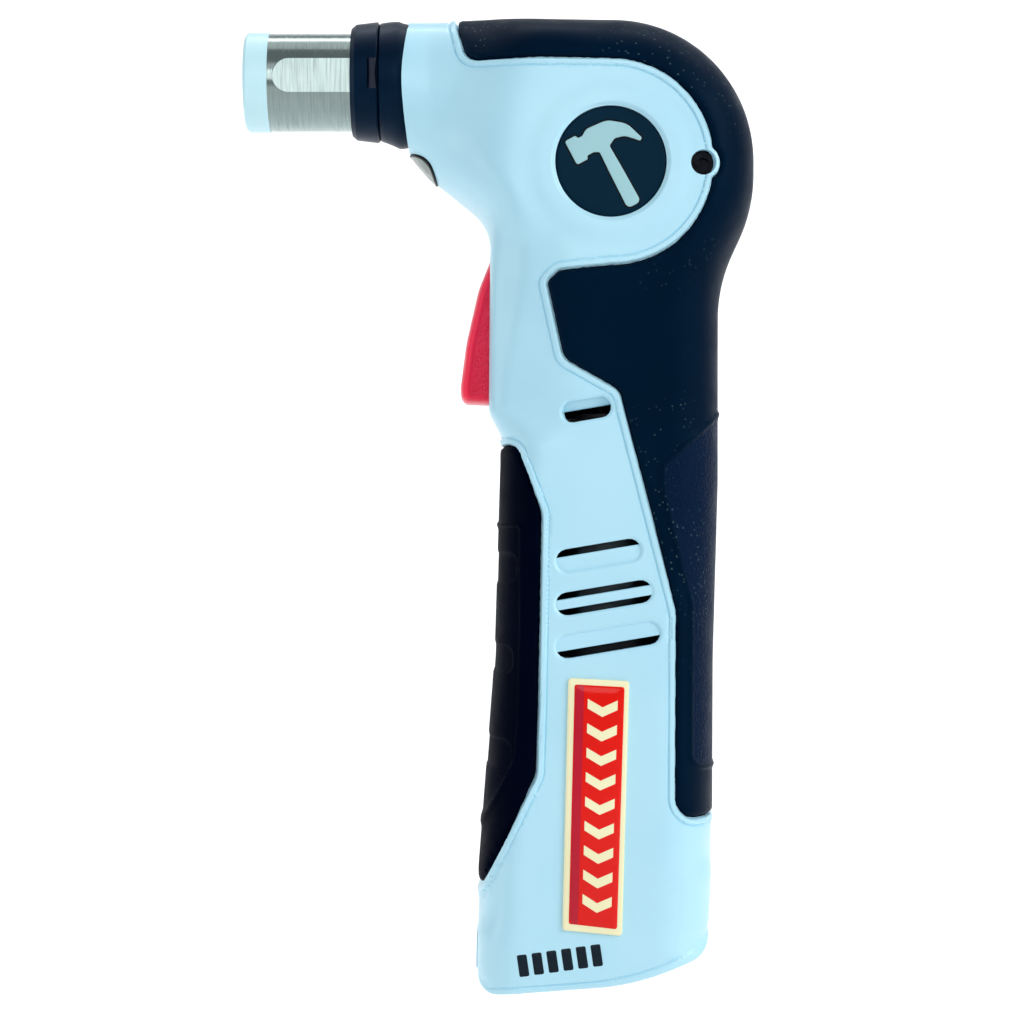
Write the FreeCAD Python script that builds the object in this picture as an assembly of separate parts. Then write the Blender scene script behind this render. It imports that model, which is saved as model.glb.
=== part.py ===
"""Cordless auto hammer: a battery hand tool that drives nails with a motor-powered striking rod.

Frame: +Z runs up the handle, -X is the way the nose points and the nail leaves, and Y is the width of
the tool, with the clamshell's split at Y = 0. The origin is the centre of the nose's mouth, on the
striking axis. All sizes are millimetres.

How it works: the motor stands in the handle. Its bevel pinion turns a large crown gear on a cross shaft
behind the round emblem. The shaft carries an impact wheel on two cam balls and a spring. The wheel's dog
strikes the tail of the striking rod, which hits the nail. When the rod stays put, the cam pushes the wheel
sideways past it. A spring-loaded sleeve guides the nail and slides back into the collar as it is driven.
"""
import FreeCAD
import Part
import math
import os

V = FreeCAD.Vector
PI = math.pi
GAP = 0.15                      # clearance between pieces that are fitted but not joined

# ---------------------------------------------------------------- driving dimensions
NOSE_R = 16.6                   # round front of the housing
NOSE_FRONT_X = 41.5             # where the pale housing begins
WHEEL_X, WHEEL_Z = 94.3, -24.1  # cross shaft, impact wheel and emblem
HEAD_HALF = 27.0                # half of the head's width
HANDLE_HALF = 23.5              # half of the handle's width
THROAT_HALF = 15.0              # half of the web under the nose
WALL = 2.8                      # housing wall
SKIN = 1.4                      # thickness of the moulded-on rubber

EMBLEM_R = 13.9
EMBLEM_DEPTH = 1.9
EMBLEM_THICK = 1.3
SCREW_X, SCREW_Z = 117.6, -24.4 # screw into the gear case, on both sides
SIDE_SCREW = (72.0, -90.2)      # screw through both halves, from the right
BADGE = [(83.6, -154.3, 1), (99.0, -155.1, 1), (97.2, -219.5, 1), (82.1, -218.0, 1)]
BADGE_DEPTH = 1.0

TIP_R, TIP_LENGTH = 12.95, 6.3
NAIL_R, SOCKET_DEPTH = 7.0, 17.5  # socket that takes the nail's head
ROD_FRONT_X = 18.0
SLEEVE_R = 12.7
SLEEVE_FRONT_X, SLEEVE_REAR_X = 6.3, 42.0
SPRING_POCKET_R, SPRING_POCKET_X = 10.9, 24.0
FLAT_DEPTH = 0.77               # milled flat that the clip runs in
FLAT_REAR_X = 34.9

ROD_R = 6.75
BUSH_BORE_R = 6.8
ROD_SHOULDER_X = 67.2
ROD_REAR_X = 78.8
BUSH_FRONT_X, BUSH_REAR_X, BUSH_R = 61.0, 67.0, 11.5
BARREL_R, BARREL_BORE_R = 13.8, 12.78
BARREL_FRONT_X, BARREL_REAR_X = 35.2, 80.0
COLLAR_FRONT_X, COLLAR_SPLIT_X = 27.7, 34.8

LENS_CENTRE = (46.6, 0, -22.8)  # round work light under the nose, looking forwards and down
LENS_TILT, LENS_R, LENS_DEEP, LENS_BOARD = 45.4, 5.3, 2.4, 1.0

MODULE = 1.1
PINION_TEETH, CROWN_TEETH = 12, 48
FACE = 5.0                      # length of the bevel teeth
PRESSURE = math.radians(25)
BACKLASH = 0.28
CASE_R, CASE_BORE_R = 30.6, 28.2
CASE_HALF, CASE_BORE_HALF = 19.4, 17.0
SHAFT_R = 5.0
RUN = 0.05                      # radial clearance of a running fit
WHEEL_R = 17.0
WHEEL_LOW_Y, WHEEL_HIGH_Y = -7.0, 3.3
DOG_R, DOG_INNER_R, DOG_HALF_ANGLE = 20.8, 13.0, 22.0

MOTOR_X = WHEEL_X
MOTOR_R = 17.9
MOTOR_FRONT_Z, MOTOR_REAR_Z = -92.0, -142.0
AXLE_R = 2.5
AXLE_LOW_Z = -149.2
BEARING_TOP_Z, BEARING_LOW_Z, BEARING_R = -54.5, -60.5, 9.5

TRIGGER_X, TRIGGER_Z = 70.5, -49.5
TRIGGER_HALF = 9.0
TRIGGER_BACK_X = 65.3
PLUNGER_Z = -70.0
TRIGGER_SPRING_Z = -61.0
SWITCH = (70.2, 81.0, -78.0, -54.0)     # x low, x high, z low, z high

BATTERY_X0, BATTERY_X1, BATTERY_HALF = 68.0, 114.0, 19.8
BATTERY_TOP_Z, BATTERY_CASE_LOW_Z = -158.0, -222.0
FLOOR_Z = -216.0                # the housing is solid below this, round the battery bay
BATTERY_CORNER = 7.0
BAY_GAP = 0.3
CELL_R, CELL_TOP_Z, CELL_LENGTH = 9.2, -159.5, 61.0
LATCH_HALF = 7.0
# Latch buttons in notches at the foot: x low, x high, z high, z low, and the low end of the tongue below.
FRONT_LATCH = (50.0, 65.0, -221.4, -230.4, -236.8)
REAR_LATCH = (116.3, 130.0, -206.0, -216.0, -225.0)
FRONT_LATCH_SPRING = (62.7, 71.4, -225.9)       # x low, x high, z
REAR_LATCH_SPRING = (110.6, 117.3, -211.0)
LATCH_SPRING_HOLE_R, LATCH_SPRING_CUP_R = 2.6, 3.8

# The side outline, clockwise from the top of the nose, as (x, z, corner radius).
OUTLINE = [
    (NOSE_FRONT_X, 16.0, 0),
    (132.7, 16.0, 37),
    (132.7, -33.1, 40),
    (123.4, -53.3, 40),
    (123.4, -105.0, 60),
    (122.1, -150.0, 60),
    (121.9, -195.0, 60),
    (119.6, -224.0, 9),
    (100.0, -232.8, 60),
    (60.0, -235.8, 5),
    (60.6, -205.0, 30),
    (64.8, -150.0, 80),
    (66.3, -100.0, 20),
    (66.3, -92.5, 5),
    (63.1, -86.5, 5),
    (63.5, -37.6, 12),
    (49.3, -26.5, 16),
    (NOSE_FRONT_X, -17.6, 0),
]

parts = {}


# ---------------------------------------------------------------- shape helpers
def corner_points(corners):
    """Tangent arcs of a polygon with rounded corners: for each corner its arc's start, middle and end."""
    made = []
    for i, (x, z, r) in enumerate(corners):
        here = V(x, 0, z)
        back = V(corners[i - 1][0], 0, corners[i - 1][1]) - here
        ahead = V(corners[(i + 1) % len(corners)][0], 0, corners[(i + 1) % len(corners)][1]) - here
        back.normalize()
        ahead.normalize()
        turn = math.acos(max(-1.0, min(1.0, back.dot(ahead))))
        if r == 0 or abs(turn - PI) < 1e-6:
            made.append((here, None, here))
            continue
        cut = r / math.tan(turn / 2)
        middle = back + ahead
        middle.normalize()
        arc_middle = here + middle * (r / math.sin(turn / 2) - r)
        made.append((here + back * cut, arc_middle, here + ahead * cut))
    return made


def rounded_wire(corners):
    """A closed wire in the plane Y = 0."""
    arcs = corner_points(corners)
    edges = []
    for i, (start, middle, end) in enumerate(arcs):
        if middle is not None:
            edges.append(Part.Arc(start, middle, end).toShape())
        following = arcs[(i + 1) % len(arcs)][0]
        if end.distanceToPoint(following) > 1e-6:
            edges.append(Part.LineSegment(end, following).toShape())
    return Part.Wire(edges)


def prism(corners, y_low, y_high):
    """The rounded polygon as a solid between two values of Y."""
    face = Part.Face(rounded_wire(corners))
    face.translate(V(0, y_low, 0))
    return face.extrude(V(0, y_high - y_low, 0))


def box(x0, x1, y0, y1, z0, z1):
    return Part.makeBox(x1 - x0, y1 - y0, z1 - z0, V(x0, y0, z0))


def rod_x(r, x0, x1, y=0.0, z=0.0):
    return Part.makeCylinder(r, x1 - x0, V(x0, y, z), V(1, 0, 0))


def rod_y(r, y0, y1, x=WHEEL_X, z=WHEEL_Z):
    return Part.makeCylinder(r, y1 - y0, V(x, y0, z), V(0, 1, 0))


def rod_z(r, z0, z1, x=MOTOR_X, y=0.0):
    return Part.makeCylinder(r, z1 - z0, V(x, y, z0), V(0, 0, 1))


def turned(profile, centre, axis):
    """A turned piece: profile is (distance along the axis, radius) round its section."""
    along = V(*axis)
    side = V(0, 0, 1) if abs(along.z) < 0.5 else V(1, 0, 0)
    points = [V(*centre) + along * a + side * r for a, r in profile]
    face = Part.Face(Part.makePolygon(points + points[:1]))
    return face.revolve(V(*centre), along, 360)


def slot(length, width, y0, y1, x, z, tilt=0.0):
    """A round-ended bar along X, turned by tilt degrees in the side view, between two values of Y."""
    half = (length - width) / 2
    shape = box(x - half, x + half, y0, y1, z - width / 2, z + width / 2)
    shape = shape.fuse([rod_y(width / 2, y0, y1, x - half, z), rod_y(width / 2, y0, y1, x + half, z)])
    shape.rotate(V(x, 0, z), V(0, -1, 0), tilt)
    return shape.removeSplitter()


def spring(mean_r, wire_r, length, turns, base, axis):
    """An open coil spring from base along axis."""
    inset = wire_r
    helix = Part.makeHelix((length - 2 * inset) / turns, length - 2 * inset, mean_r)
    ring = Part.Wire(Part.makeCircle(wire_r, V(mean_r, 0, 0), V(0, 1, 0)))
    coil = Part.Wire(helix.Edges).makePipeShell([ring], True, True)
    coil.translate(V(0, 0, inset))
    stand = FreeCAD.Placement(V(*base), FreeCAD.Rotation(V(0, 0, 1), V(*axis)))
    coil.Placement = stand.multiply(coil.Placement)
    return coil


def fillet(shape, radius, wanted):
    """Rounds the edges whose middle point passes the test."""
    edges = [e for e in shape.Edges if wanted(e.valueAt((e.FirstParameter + e.LastParameter) / 2))]
    return shape.makeFillet(radius, edges)


def half(shape, side):
    """The part of a shape on one side of the split: -1 is the left half, 1 the right."""
    cutter = box(-50, 200, 0, 60, -300, 60) if side > 0 else box(-50, 200, -60, 0, -300, 60)
    return shape.common(cutter)


def keep(name, shape):
    """Stores a piece, with a check that it is made of closed solids."""
    shape = shape.removeSplitter() if shape.ShapeType != "Compound" else shape
    solids = shape.Solids
    if not solids or not all(s.isValid() and s.Volume > 0 for s in solids):
        raise ValueError(name + " isn't made of valid solids")
    parts[name] = solids[0] if len(solids) == 1 else Part.makeCompound(solids)
    return parts[name]


# ---------------------------------------------------------------- outer form
def inset_face(corners, amount):
    """A rounded polygon's face, moved inwards."""
    wire = rounded_wire(corners)
    if amount == 0:
        return Part.Face(wire)
    return Part.Face(wire.makeOffset2D(-amount, 0, False))


def pillow(corners, half_width, radius, inset, rounded):
    """A side outline given a width, all moved in by inset, with the long edges that pass the test rounded."""
    half_width -= inset
    body = inset_face(corners, inset).extrude(V(0, 2 * half_width, 0))
    body.translate(V(0, -half_width, 0))
    return fillet(body, radius - inset, lambda p: abs(abs(p.y) - half_width) < 1e-3 and rounded(p))


def section(x, half_width, z0, z1, radius, inset):
    """A rounded rectangle standing across the tool."""
    y1, z0, z1, r = half_width - inset, z0 + inset, z1 - inset, radius - inset
    bend = r * (1 - math.sqrt(0.5))
    edges = []
    for sy, sz in ((1, 1), (1, -1), (-1, -1), (-1, 1)):
        top = z1 if sz > 0 else z0
        side_point = V(x, sy * y1, top - sz * r)
        level_point = V(x, sy * (y1 - r), top)
        ends = (level_point, side_point) if sy == sz else (side_point, level_point)
        edges.append((ends[0], V(x, sy * (y1 - bend), top - sz * bend), ends[1]))
    wire = []
    for i, (start, middle, end) in enumerate(edges):
        wire.append(Part.Arc(start, middle, end).toShape())
        wire.append(Part.LineSegment(end, edges[(i + 1) % 4][0]).toShape())
    return Part.Wire(wire)


def outer_form(inset=0.0):
    """The tool's outer form, or the same form with every surface moved in by inset."""
    slab = inset_face(OUTLINE, inset).extrude(V(0, 2 * HEAD_HALF, 0))
    slab.translate(V(0, -HEAD_HALF, 0))
    head = [
        (75.0, 17.0, 4), (133.7, 17.0, 37), (133.7, -33.1, 40), (124.4, -53.3, 40), (124.4, -78.0, 10),
        (90.0, -74.0, 12), (73.0, -50.0, 12), (75.0, -20.0, 20),
    ]
    handle = [
        (58.0, -262.0, 0), (58.6, -205.0, 30), (62.8, -150.0, 60), (64.3, -100.0, 20), (61.5, -86.0, 20),
        (61.5, -34.0, 16), (125.4, -34.0, 0), (125.4, -105.0, 60), (124.1, -150.0, 60), (123.9, -195.0, 60),
        (121.6, -262.0, 0),
    ]
    throat = [
        (38.0, -4.0, 0), (84.0, -4.0, 0), (84.0, -60.0, 0), (62.5, -60.0, 0), (62.5, -38.0, 14),
        (38.0, -14.5, 0),
    ]
    bodies = [
        pillow(head, HEAD_HALF, 9, inset, lambda p: p.x > 75.5),
        pillow(handle, HANDLE_HALF, 12, inset, lambda p: p.z > -261 and (p.x < 70 or p.x > 118)),
        pillow(throat, THROAT_HALF, 8, inset, lambda p: p.x < 62 and p.z < -14),
        rod_x(NOSE_R - inset, NOSE_FRONT_X - 2, 84.0),
        Part.makeLoft([section(50.0, NOSE_R - 0.2, -NOSE_R, 17.0, 15.5, inset),
                       section(76.0, HEAD_HALF - 0.6, -62.0, 17.0, 9.0, inset)], True, True),
    ]
    return bodies[0].fuse(bodies[1:]).common(slab)


# ---------------------------------------------------------------- bevel gears
def involute_half(teeth, radius, height):
    """Half thickness of a tooth at a height above its pitch line, on a gear with this pitch radius."""
    base = radius * math.cos(PRESSURE)
    r = max(radius + height, base)
    flank = math.acos(base / r)
    spread = (PI * MODULE - BACKLASH) / 4 / radius
    return r * (spread + (math.tan(PRESSURE) - PRESSURE) - (math.tan(flank) - flank))


def bevel_teeth(teeth, mate_teeth, centre, axis, first):
    """The teeth of a straight bevel gear whose pitch cone's point is at centre.

    axis points from there towards the gear's back, and first points at the middle of one tooth.
    """
    along, out = V(*axis), V(*first)
    side = along.cross(out)
    pitch_r = MODULE * teeth / 2
    back = MODULE * mate_teeth / 2
    cone = math.hypot(pitch_r, back)
    sin_d, cos_d = pitch_r / cone, back / cone
    virtual_r = pitch_r / cos_d
    add, ded = 0.85 * MODULE, 1.2 * MODULE
    heights = [-ded, -0.55 * MODULE, 0.0, 0.45 * MODULE, add]

    def place(height, tangent, scale):
        radial = pitch_r + height * cos_d
        axial = back - height * sin_d
        return V(*centre) + (out * radial + along * axial + side * tangent) * scale

    flank = [(h, involute_half(teeth, virtual_r, h)) for h in heights]
    ring = flank + [(h, -t) for h, t in reversed(flank)]
    small = (cone - FACE) / cone
    wires = []
    for scale in (1.0, small):
        points = [place(h, t, scale) for h, t in ring]
        wires.append(Part.makePolygon(points + points[:1]))
    tooth = Part.makeLoft(wires, True, True)
    made = []
    for i in range(teeth):
        copy = tooth.copy()
        copy.rotate(V(*centre), along, 360.0 * i / teeth)
        made.append(copy)
    return made, (back + ded * sin_d, pitch_r - ded * cos_d), small


APEX = (WHEEL_X, 0, WHEEL_Z)


def make_crown_gear():
    teeth, (root_y, root_r), small = bevel_teeth(CROWN_TEETH, PINION_TEETH, APEX, (0, 1, 0), (0, 0, 1))
    half_pitch = 180.0 / CROWN_TEETH
    profile = [
        (4.0, SHAFT_R), (4.0, 10.6), (8.2, 10.6), (8.2, root_r * small - 1.0),
        (root_y * small - 0.25, root_r * small - 1.0), (root_y * small - 0.25, root_r * small),
        (root_y - 0.25, root_r), (root_y + 0.6, root_r + 0.7),
        (11.2, root_r + 0.7), (11.2, 10.6), (12.8, 10.6), (12.8, SHAFT_R),
    ]
    blank = turned(profile, APEX, (0, 1, 0))
    gear = blank.fuse(teeth)
    gear.rotate(V(*APEX), V(0, 1, 0), half_pitch)
    holes = []
    for i in range(6):
        hole = rod_y(2.6, 0, 20, WHEEL_X, WHEEL_Z + 15.6)
        hole.rotate(V(*APEX), V(0, 1, 0), 60 * i)
        holes.append(hole)
    return gear.cut(holes).cut(cam_balls(2.05))


def make_pinion():
    teeth, (root_z, root_r), small = bevel_teeth(PINION_TEETH, CROWN_TEETH, APEX, (0, 0, -1), (0, 1, 0))
    profile = [
        (root_z * small - 0.1, AXLE_R), (root_z * small - 0.1, root_r * small + 0.1), (root_z, root_r + 0.1),
        (root_z, 6.6), (30.0, 6.6), (30.0, AXLE_R),
    ]
    return turned(profile, APEX, (0, 0, -1)).fuse(teeth)


def cam_balls(radius):
    """Two balls between the crown gear's hub and the impact wheel."""
    return [Part.makeSphere(radius, V(WHEEL_X, 3.65, WHEEL_Z + side * 8.3)) for side in (-1, 1)]


# ---------------------------------------------------------------- regions of the surface
# Outlines in the side view, as (x, z, corner radius). Each runs outside the tool where it meets an edge.
REAR_GRIP = [
    (55.0, 30.0, 0), (55.0, 13.0, 2), (62.2, 1.6, 5), (94.3, 1.6, 0), (113.2, -5.7, 0), (120.4, -24.6, 0),
    (112.6, -43.0, 0), (94.3, -50.7, 0), (81.0, -51.5, 3), (78.0, -54.2, 2), (82.0, -71.2, 7),
    (95.2, -80.6, 6), (100.7, -99.3, 60), (103.8, -108.1, 60), (110.9, -136.6, 20), (110.6, -186.4, 4),
    (113.4, -189.7, 3), (145.0, -189.7, 0), (145.0, 30.0, 0),
]
FRONT_GRIP = [
    (50.0, -95.5, 0), (70.0, -95.5, 3), (76.8, -112.7, 8), (76.0, -159.9, 60), (75.5, -177.1, 8),
    (60.0, -208.6, 0), (50.0, -208.6, 0),
]
HEAD_RING_R = 26.1              # pale disc round the emblem, which the rear grip goes round
VENTS = [                       # x, z, length and width of each slot
    (87.9, -86.4, 12.6, 4.5), (91.3, -123.0, 21.8, 5.2), (92.6, -133.7, 24.6, 5.2), (93.6, -144.2, 26.8, 5.2),
]
VENT_TILT = 9.5
FOOT = [
    (50.0, -234.4, 0), (100.0, -230.7, 60), (130.0, -216.1, 0), (150.0, -216.1, 0), (150.0, -260.0, 0),
    (50.0, -260.0, 0),
]


def grip_regions():
    rear = prism(REAR_GRIP, -60, 60).cut(rod_y(HEAD_RING_R, -60, 60))
    return rear, prism(FRONT_GRIP, -60, 60)


# ---------------------------------------------------------------- nose
def make_nose():
    tip = turned([(0, NAIL_R), (TIP_LENGTH, NAIL_R), (TIP_LENGTH, TIP_R), (0.8, TIP_R),
                  (0, TIP_R - 0.8)], (0, 0, 0), (1, 0, 0))
    keep("nose_tip", tip)
    sleeve = turned([
        (SLEEVE_FRONT_X, NAIL_R), (SOCKET_DEPTH, NAIL_R), (SOCKET_DEPTH, NAIL_R + 0.6),
        (SPRING_POCKET_X, NAIL_R + 0.6), (SPRING_POCKET_X, SPRING_POCKET_R),
        (SLEEVE_REAR_X, SPRING_POCKET_R), (SLEEVE_REAR_X, SLEEVE_R - 0.5), (SLEEVE_REAR_X - 0.5, SLEEVE_R),
        (SLEEVE_FRONT_X, SLEEVE_R)], (0, 0, 0), (1, 0, 0))
    flat_z = math.sqrt(SLEEVE_R ** 2 - (SLEEVE_R - FLAT_DEPTH) ** 2)
    flat = slot(FLAT_REAR_X - 7.6 + flat_z, 2 * flat_z, -SLEEVE_R - 1, -SLEEVE_R + FLAT_DEPTH,
                (7.6 + FLAT_REAR_X + flat_z) / 2, 0)
    flat = flat.common(box(0, FLAT_REAR_X, -20, 0, -9, 9))
    keep("nose_sleeve", sleeve.cut(flat))
    coil = spring(9.3, 0.85, BUSH_FRONT_X - SPRING_POCKET_X, 9, (SPRING_POCKET_X, 0, 0), (1, 0, 0))
    keep("sleeve_spring", coil)

    rod = rod_x(ROD_R, ROD_FRONT_X, BUSH_REAR_X - 0.1).cut(rod_x(4.0, ROD_FRONT_X, ROD_FRONT_X + 5))
    neck = rod_x(ROD_R, BUSH_REAR_X - 0.1, ROD_SHOULDER_X).common(box(60, 70, -6.0, WHEEL_HIGH_Y, -6.0, 6.0))
    tang = box(ROD_SHOULDER_X, ROD_REAR_X, -6.0, WHEEL_HIGH_Y, -3.0, 6.0)
    heel = box(ROD_SHOULDER_X, ROD_REAR_X, -1.0, WHEEL_HIGH_Y, -10.0, -3.0)
    keep("striking_rod", rod.fuse([neck, tang, heel]))
    keep("rod_magnet", rod_x(4.0, ROD_FRONT_X, ROD_FRONT_X + 5))
    keep("rod_bush", rod_x(BUSH_R, BUSH_FRONT_X, BUSH_REAR_X).cut(
        [rod_x(BUSH_BORE_R, 50, 90), rod_x(9.0, BUSH_FRONT_X, BUSH_FRONT_X + 2)]))
    seal = Part.makeTorus(7.8, 0.97, V(BUSH_FRONT_X + 1, 0, 0), V(1, 0, 0))
    keep("rod_seal", seal)

    front = turned([
        (COLLAR_FRONT_X, 13.4), (COLLAR_FRONT_X, 14.0), (COLLAR_FRONT_X + 1.2, 15.0),
        (COLLAR_SPLIT_X - 0.4, 15.65),
        (COLLAR_SPLIT_X, 15.2), (COLLAR_SPLIT_X, 12.82), (COLLAR_FRONT_X + 0.6, 12.82)], (0, 0, 0), (1, 0, 0))
    clip_slot = box(32.3, 34.7, -20, -11, -3.9, 3.9)
    keep("nose_collar_front", front.cut(clip_slot))
    rear = turned([
        (COLLAR_SPLIT_X, 12.82), (COLLAR_SPLIT_X, 15.2), (COLLAR_SPLIT_X + 0.5, 15.7), (38.5, 16.0),
        (NOSE_FRONT_X, 16.75), (NOSE_FRONT_X, BARREL_R), (BARREL_FRONT_X, BARREL_R), (BARREL_FRONT_X, 12.82)],
        (0, 0, 0), (1, 0, 0))
    keep("nose_collar_rear", rear.common(box(0, 60, -30, 30, -17, 16.1)))
    clip = box(32.3, 34.7, -15.0, -SLEEVE_R + FLAT_DEPTH - 0.1, -3.9, 3.9)
    keep("nose_clip", fillet(clip, 0.7, lambda p: p.y < -14.9 and abs(p.x - 33.5) > 1.1))


# ---------------------------------------------------------------- striking mechanism
def make_mechanism():
    outer = rod_y(CASE_R, -CASE_HALF, CASE_HALF)
    outer = fillet(outer, 1.5, lambda p: abs(abs(p.y) - CASE_HALF) < 1e-3)
    barrel = rod_x(BARREL_R, BARREL_FRONT_X, BARREL_REAR_X)
    boss = rod_z(12.5, BEARING_LOW_Z - 1.5, WHEEL_Z - 20)
    bearing_pads = [rod_y(12, side * 10 - 10.6, side * 10 + 10.6) for side in (-1, 1)]
    solid = outer.fuse([barrel, boss] + bearing_pads)
    hollow = [
        rod_y(CASE_BORE_R, -CASE_BORE_HALF, CASE_BORE_HALF),
        rod_x(BARREL_BORE_R, BARREL_FRONT_X - 1, BUSH_FRONT_X),
        rod_x(BUSH_R, BUSH_FRONT_X - 1, BUSH_REAR_X),
        box(BUSH_REAR_X - 1, 83.0, -6.4, 3.7, -10.4, 7.2),
        rod_x(ROD_R + 0.3, BUSH_REAR_X - 1, BUSH_REAR_X + 4.6),
        rod_z(8.0, BEARING_TOP_Z, WHEEL_Z - 20),
        rod_z(BEARING_R, BEARING_LOW_Z - 2, BEARING_TOP_Z),
        rod_y(9.5, -17.8, 17.8),
    ]
    case = solid.cut(hollow + screw_shapes(False))
    keep("gear_case_left", half(case, -1))
    keep("gear_case_right", half(case, 1))
    keep("cross_shaft", rod_y(SHAFT_R, -17.7, 17.7))
    keep("shaft_bearings", Part.makeCompound(
        [rod_y(9.5, lo, hi).cut(rod_y(SHAFT_R + RUN, lo, hi)) for lo, hi in ((-17.8, -13.3), (13.3, 17.8))]))
    keep("thrust_washer", rod_y(11.5, -13.2, -12.4).cut(rod_y(SHAFT_R, -14, -12)))
    keep("bevel_gear", make_crown_gear())
    keep("cam_balls", Part.makeCompound(cam_balls(2.0)))

    wheel = rod_y(WHEEL_R, WHEEL_LOW_Y, WHEEL_HIGH_Y)
    wedge = [V(WHEEL_X, WHEEL_LOW_Y, WHEEL_Z)]
    for angle in (-math.radians(DOG_HALF_ANGLE), math.radians(DOG_HALF_ANGLE)):
        wedge.append(wedge[0] + V(math.cos(angle), 0, math.sin(angle)) * 40)
    dog = Part.Face(Part.makePolygon(wedge + wedge[:1])).extrude(V(0, WHEEL_HIGH_Y - WHEEL_LOW_Y, 0))
    dog = dog.common(rod_y(DOG_R, WHEEL_LOW_Y, WHEEL_HIGH_Y)).cut(rod_y(DOG_INNER_R, -20, 20))
    pocket = rod_y(11.2, WHEEL_LOW_Y - 1, 0.3).cut(rod_y(6.8, -20, 20))
    wheel = wheel.fuse(dog).cut([pocket, rod_y(SHAFT_R + RUN, -20, 20)] + cam_balls(2.05))
    keep("impact_wheel", wheel)
    keep("hammer_spring", spring(9.0, 0.8, 12.5, 4, (WHEEL_X, -12.3, WHEEL_Z), (0, 1, 0)))
    keep("bevel_pinion", make_pinion())
    keep("pinion_bearing", rod_z(BEARING_R, BEARING_LOW_Z, BEARING_TOP_Z).cut(rod_z(AXLE_R + RUN, -70, -50)))


# ---------------------------------------------------------------- motor
def make_motor():
    bore_r = MOTOR_R - 1.2
    can = rod_z(MOTOR_R, MOTOR_REAR_Z, MOTOR_FRONT_Z).cut(rod_z(bore_r, MOTOR_REAR_Z - 1, MOTOR_FRONT_Z - 1.4))
    neck = rod_z(6.5, MOTOR_FRONT_Z, MOTOR_FRONT_Z + 2)
    slots = []
    for angle in (-45, 0, 45, 135, 180, 225):
        window = box(9.0, 14.0, -2.2, 2.2, -94, -91)
        window.rotate(V(0, 0, 0), V(0, 0, 1), angle)
        window.translate(V(MOTOR_X, 0, 0))
        slots.append(window)
    keep("motor_can", can.fuse(neck).cut(slots + [rod_z(AXLE_R + RUN, -100, -80)]))

    ring = rod_z(bore_r, -136, -97).cut(rod_z(13.3, -140, -90))
    keep("motor_magnets", Part.makeCompound(
        [ring.common(box(MOTOR_X - 11, MOTOR_X + 11, y0, y1, -140, -90)) for y0, y1 in ((-30, 0), (0, 30))]))
    core = rod_z(12.6, -133, -99).cut(rod_z(AXLE_R, -140, -90))
    cuts = []
    for i in range(5):
        cut = box(6.2, 14, -1.0, 1.0, -134, -98).fuse(rod_z(2.6, -134, -98, 8.6))
        cut.rotate(V(0, 0, 0), V(0, 0, 1), 72 * i)
        cut.translate(V(MOTOR_X, 0, 0))
        cuts.append(cut)
    keep("armature", core.cut(cuts))
    coils = []
    for z in (-135.8, -96.4):
        coils.append(Part.makeTorus(8.3, 2.6, V(MOTOR_X, 0, z), V(0, 0, 1)))
    keep("armature_coils", Part.makeCompound(coils))
    keep("motor_shaft", rod_z(AXLE_R, AXLE_LOW_Z, WHEEL_Z - 22.2))
    bars = rod_z(5.2, -147.0, -139.2).cut(rod_z(AXLE_R, -150, -130))
    grooves = []
    for i in range(5):
        groove = box(4.3, 6, -0.25, 0.25, -148, -139.9)
        groove.rotate(V(0, 0, 0), V(0, 0, 1), 72 * i + 36)
        groove.translate(V(MOTOR_X, 0, 0))
        grooves.append(groove)
    keep("commutator", bars.cut(grooves))

    hub = rod_z(5.0, -88.5, -79.5)
    plate = rod_z(16.0, -88.5, -87.3)
    blades = []
    for i in range(11):
        blade = box(4.5, 15.6, -0.6, 0.6, -87.4, -81.0)
        blade.rotate(V(15.6, 0, 0), V(0, 0, 1), 28)
        blade.rotate(V(0, 0, 0), V(0, 0, 1), 360.0 * i / 11)
        blade.translate(V(MOTOR_X, 0, 0))
        blades.append(blade.common(rod_z(16.0, -90, -80)))
    keep("fan", hub.fuse([plate] + blades).cut(rod_z(AXLE_R, -90, -78)))

    bell = rod_z(MOTOR_R, -149.5, MOTOR_REAR_Z).fuse(rod_z(bore_r, MOTOR_REAR_Z, -139.5))
    bell = bell.cut([rod_z(13.4, -147.6, -139), rod_z(AXLE_R + RUN, -151, -140)])
    holders, brushes = [], []
    for side in (-1, 1):
        x0, x1 = sorted((MOTOR_X + side * 6.4, MOTOR_X + side * 13.6))
        holders.append(box(x0, x1, -3.2, 3.2, -147.8, -141.0))
        x0, x1 = sorted((MOTOR_X + side * 5.25, MOTOR_X + side * 12))
        brushes.append(box(x0, x1, -1.8, 1.8, -145.4, -142.4))
    channel = box(MOTOR_X - 12, MOTOR_X + 12, -1.8, 1.8, -145.4, -142.4)
    keep("motor_endbell", bell.fuse(holders).cut(channel))
    keep("brushes", Part.makeCompound(brushes))


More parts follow.
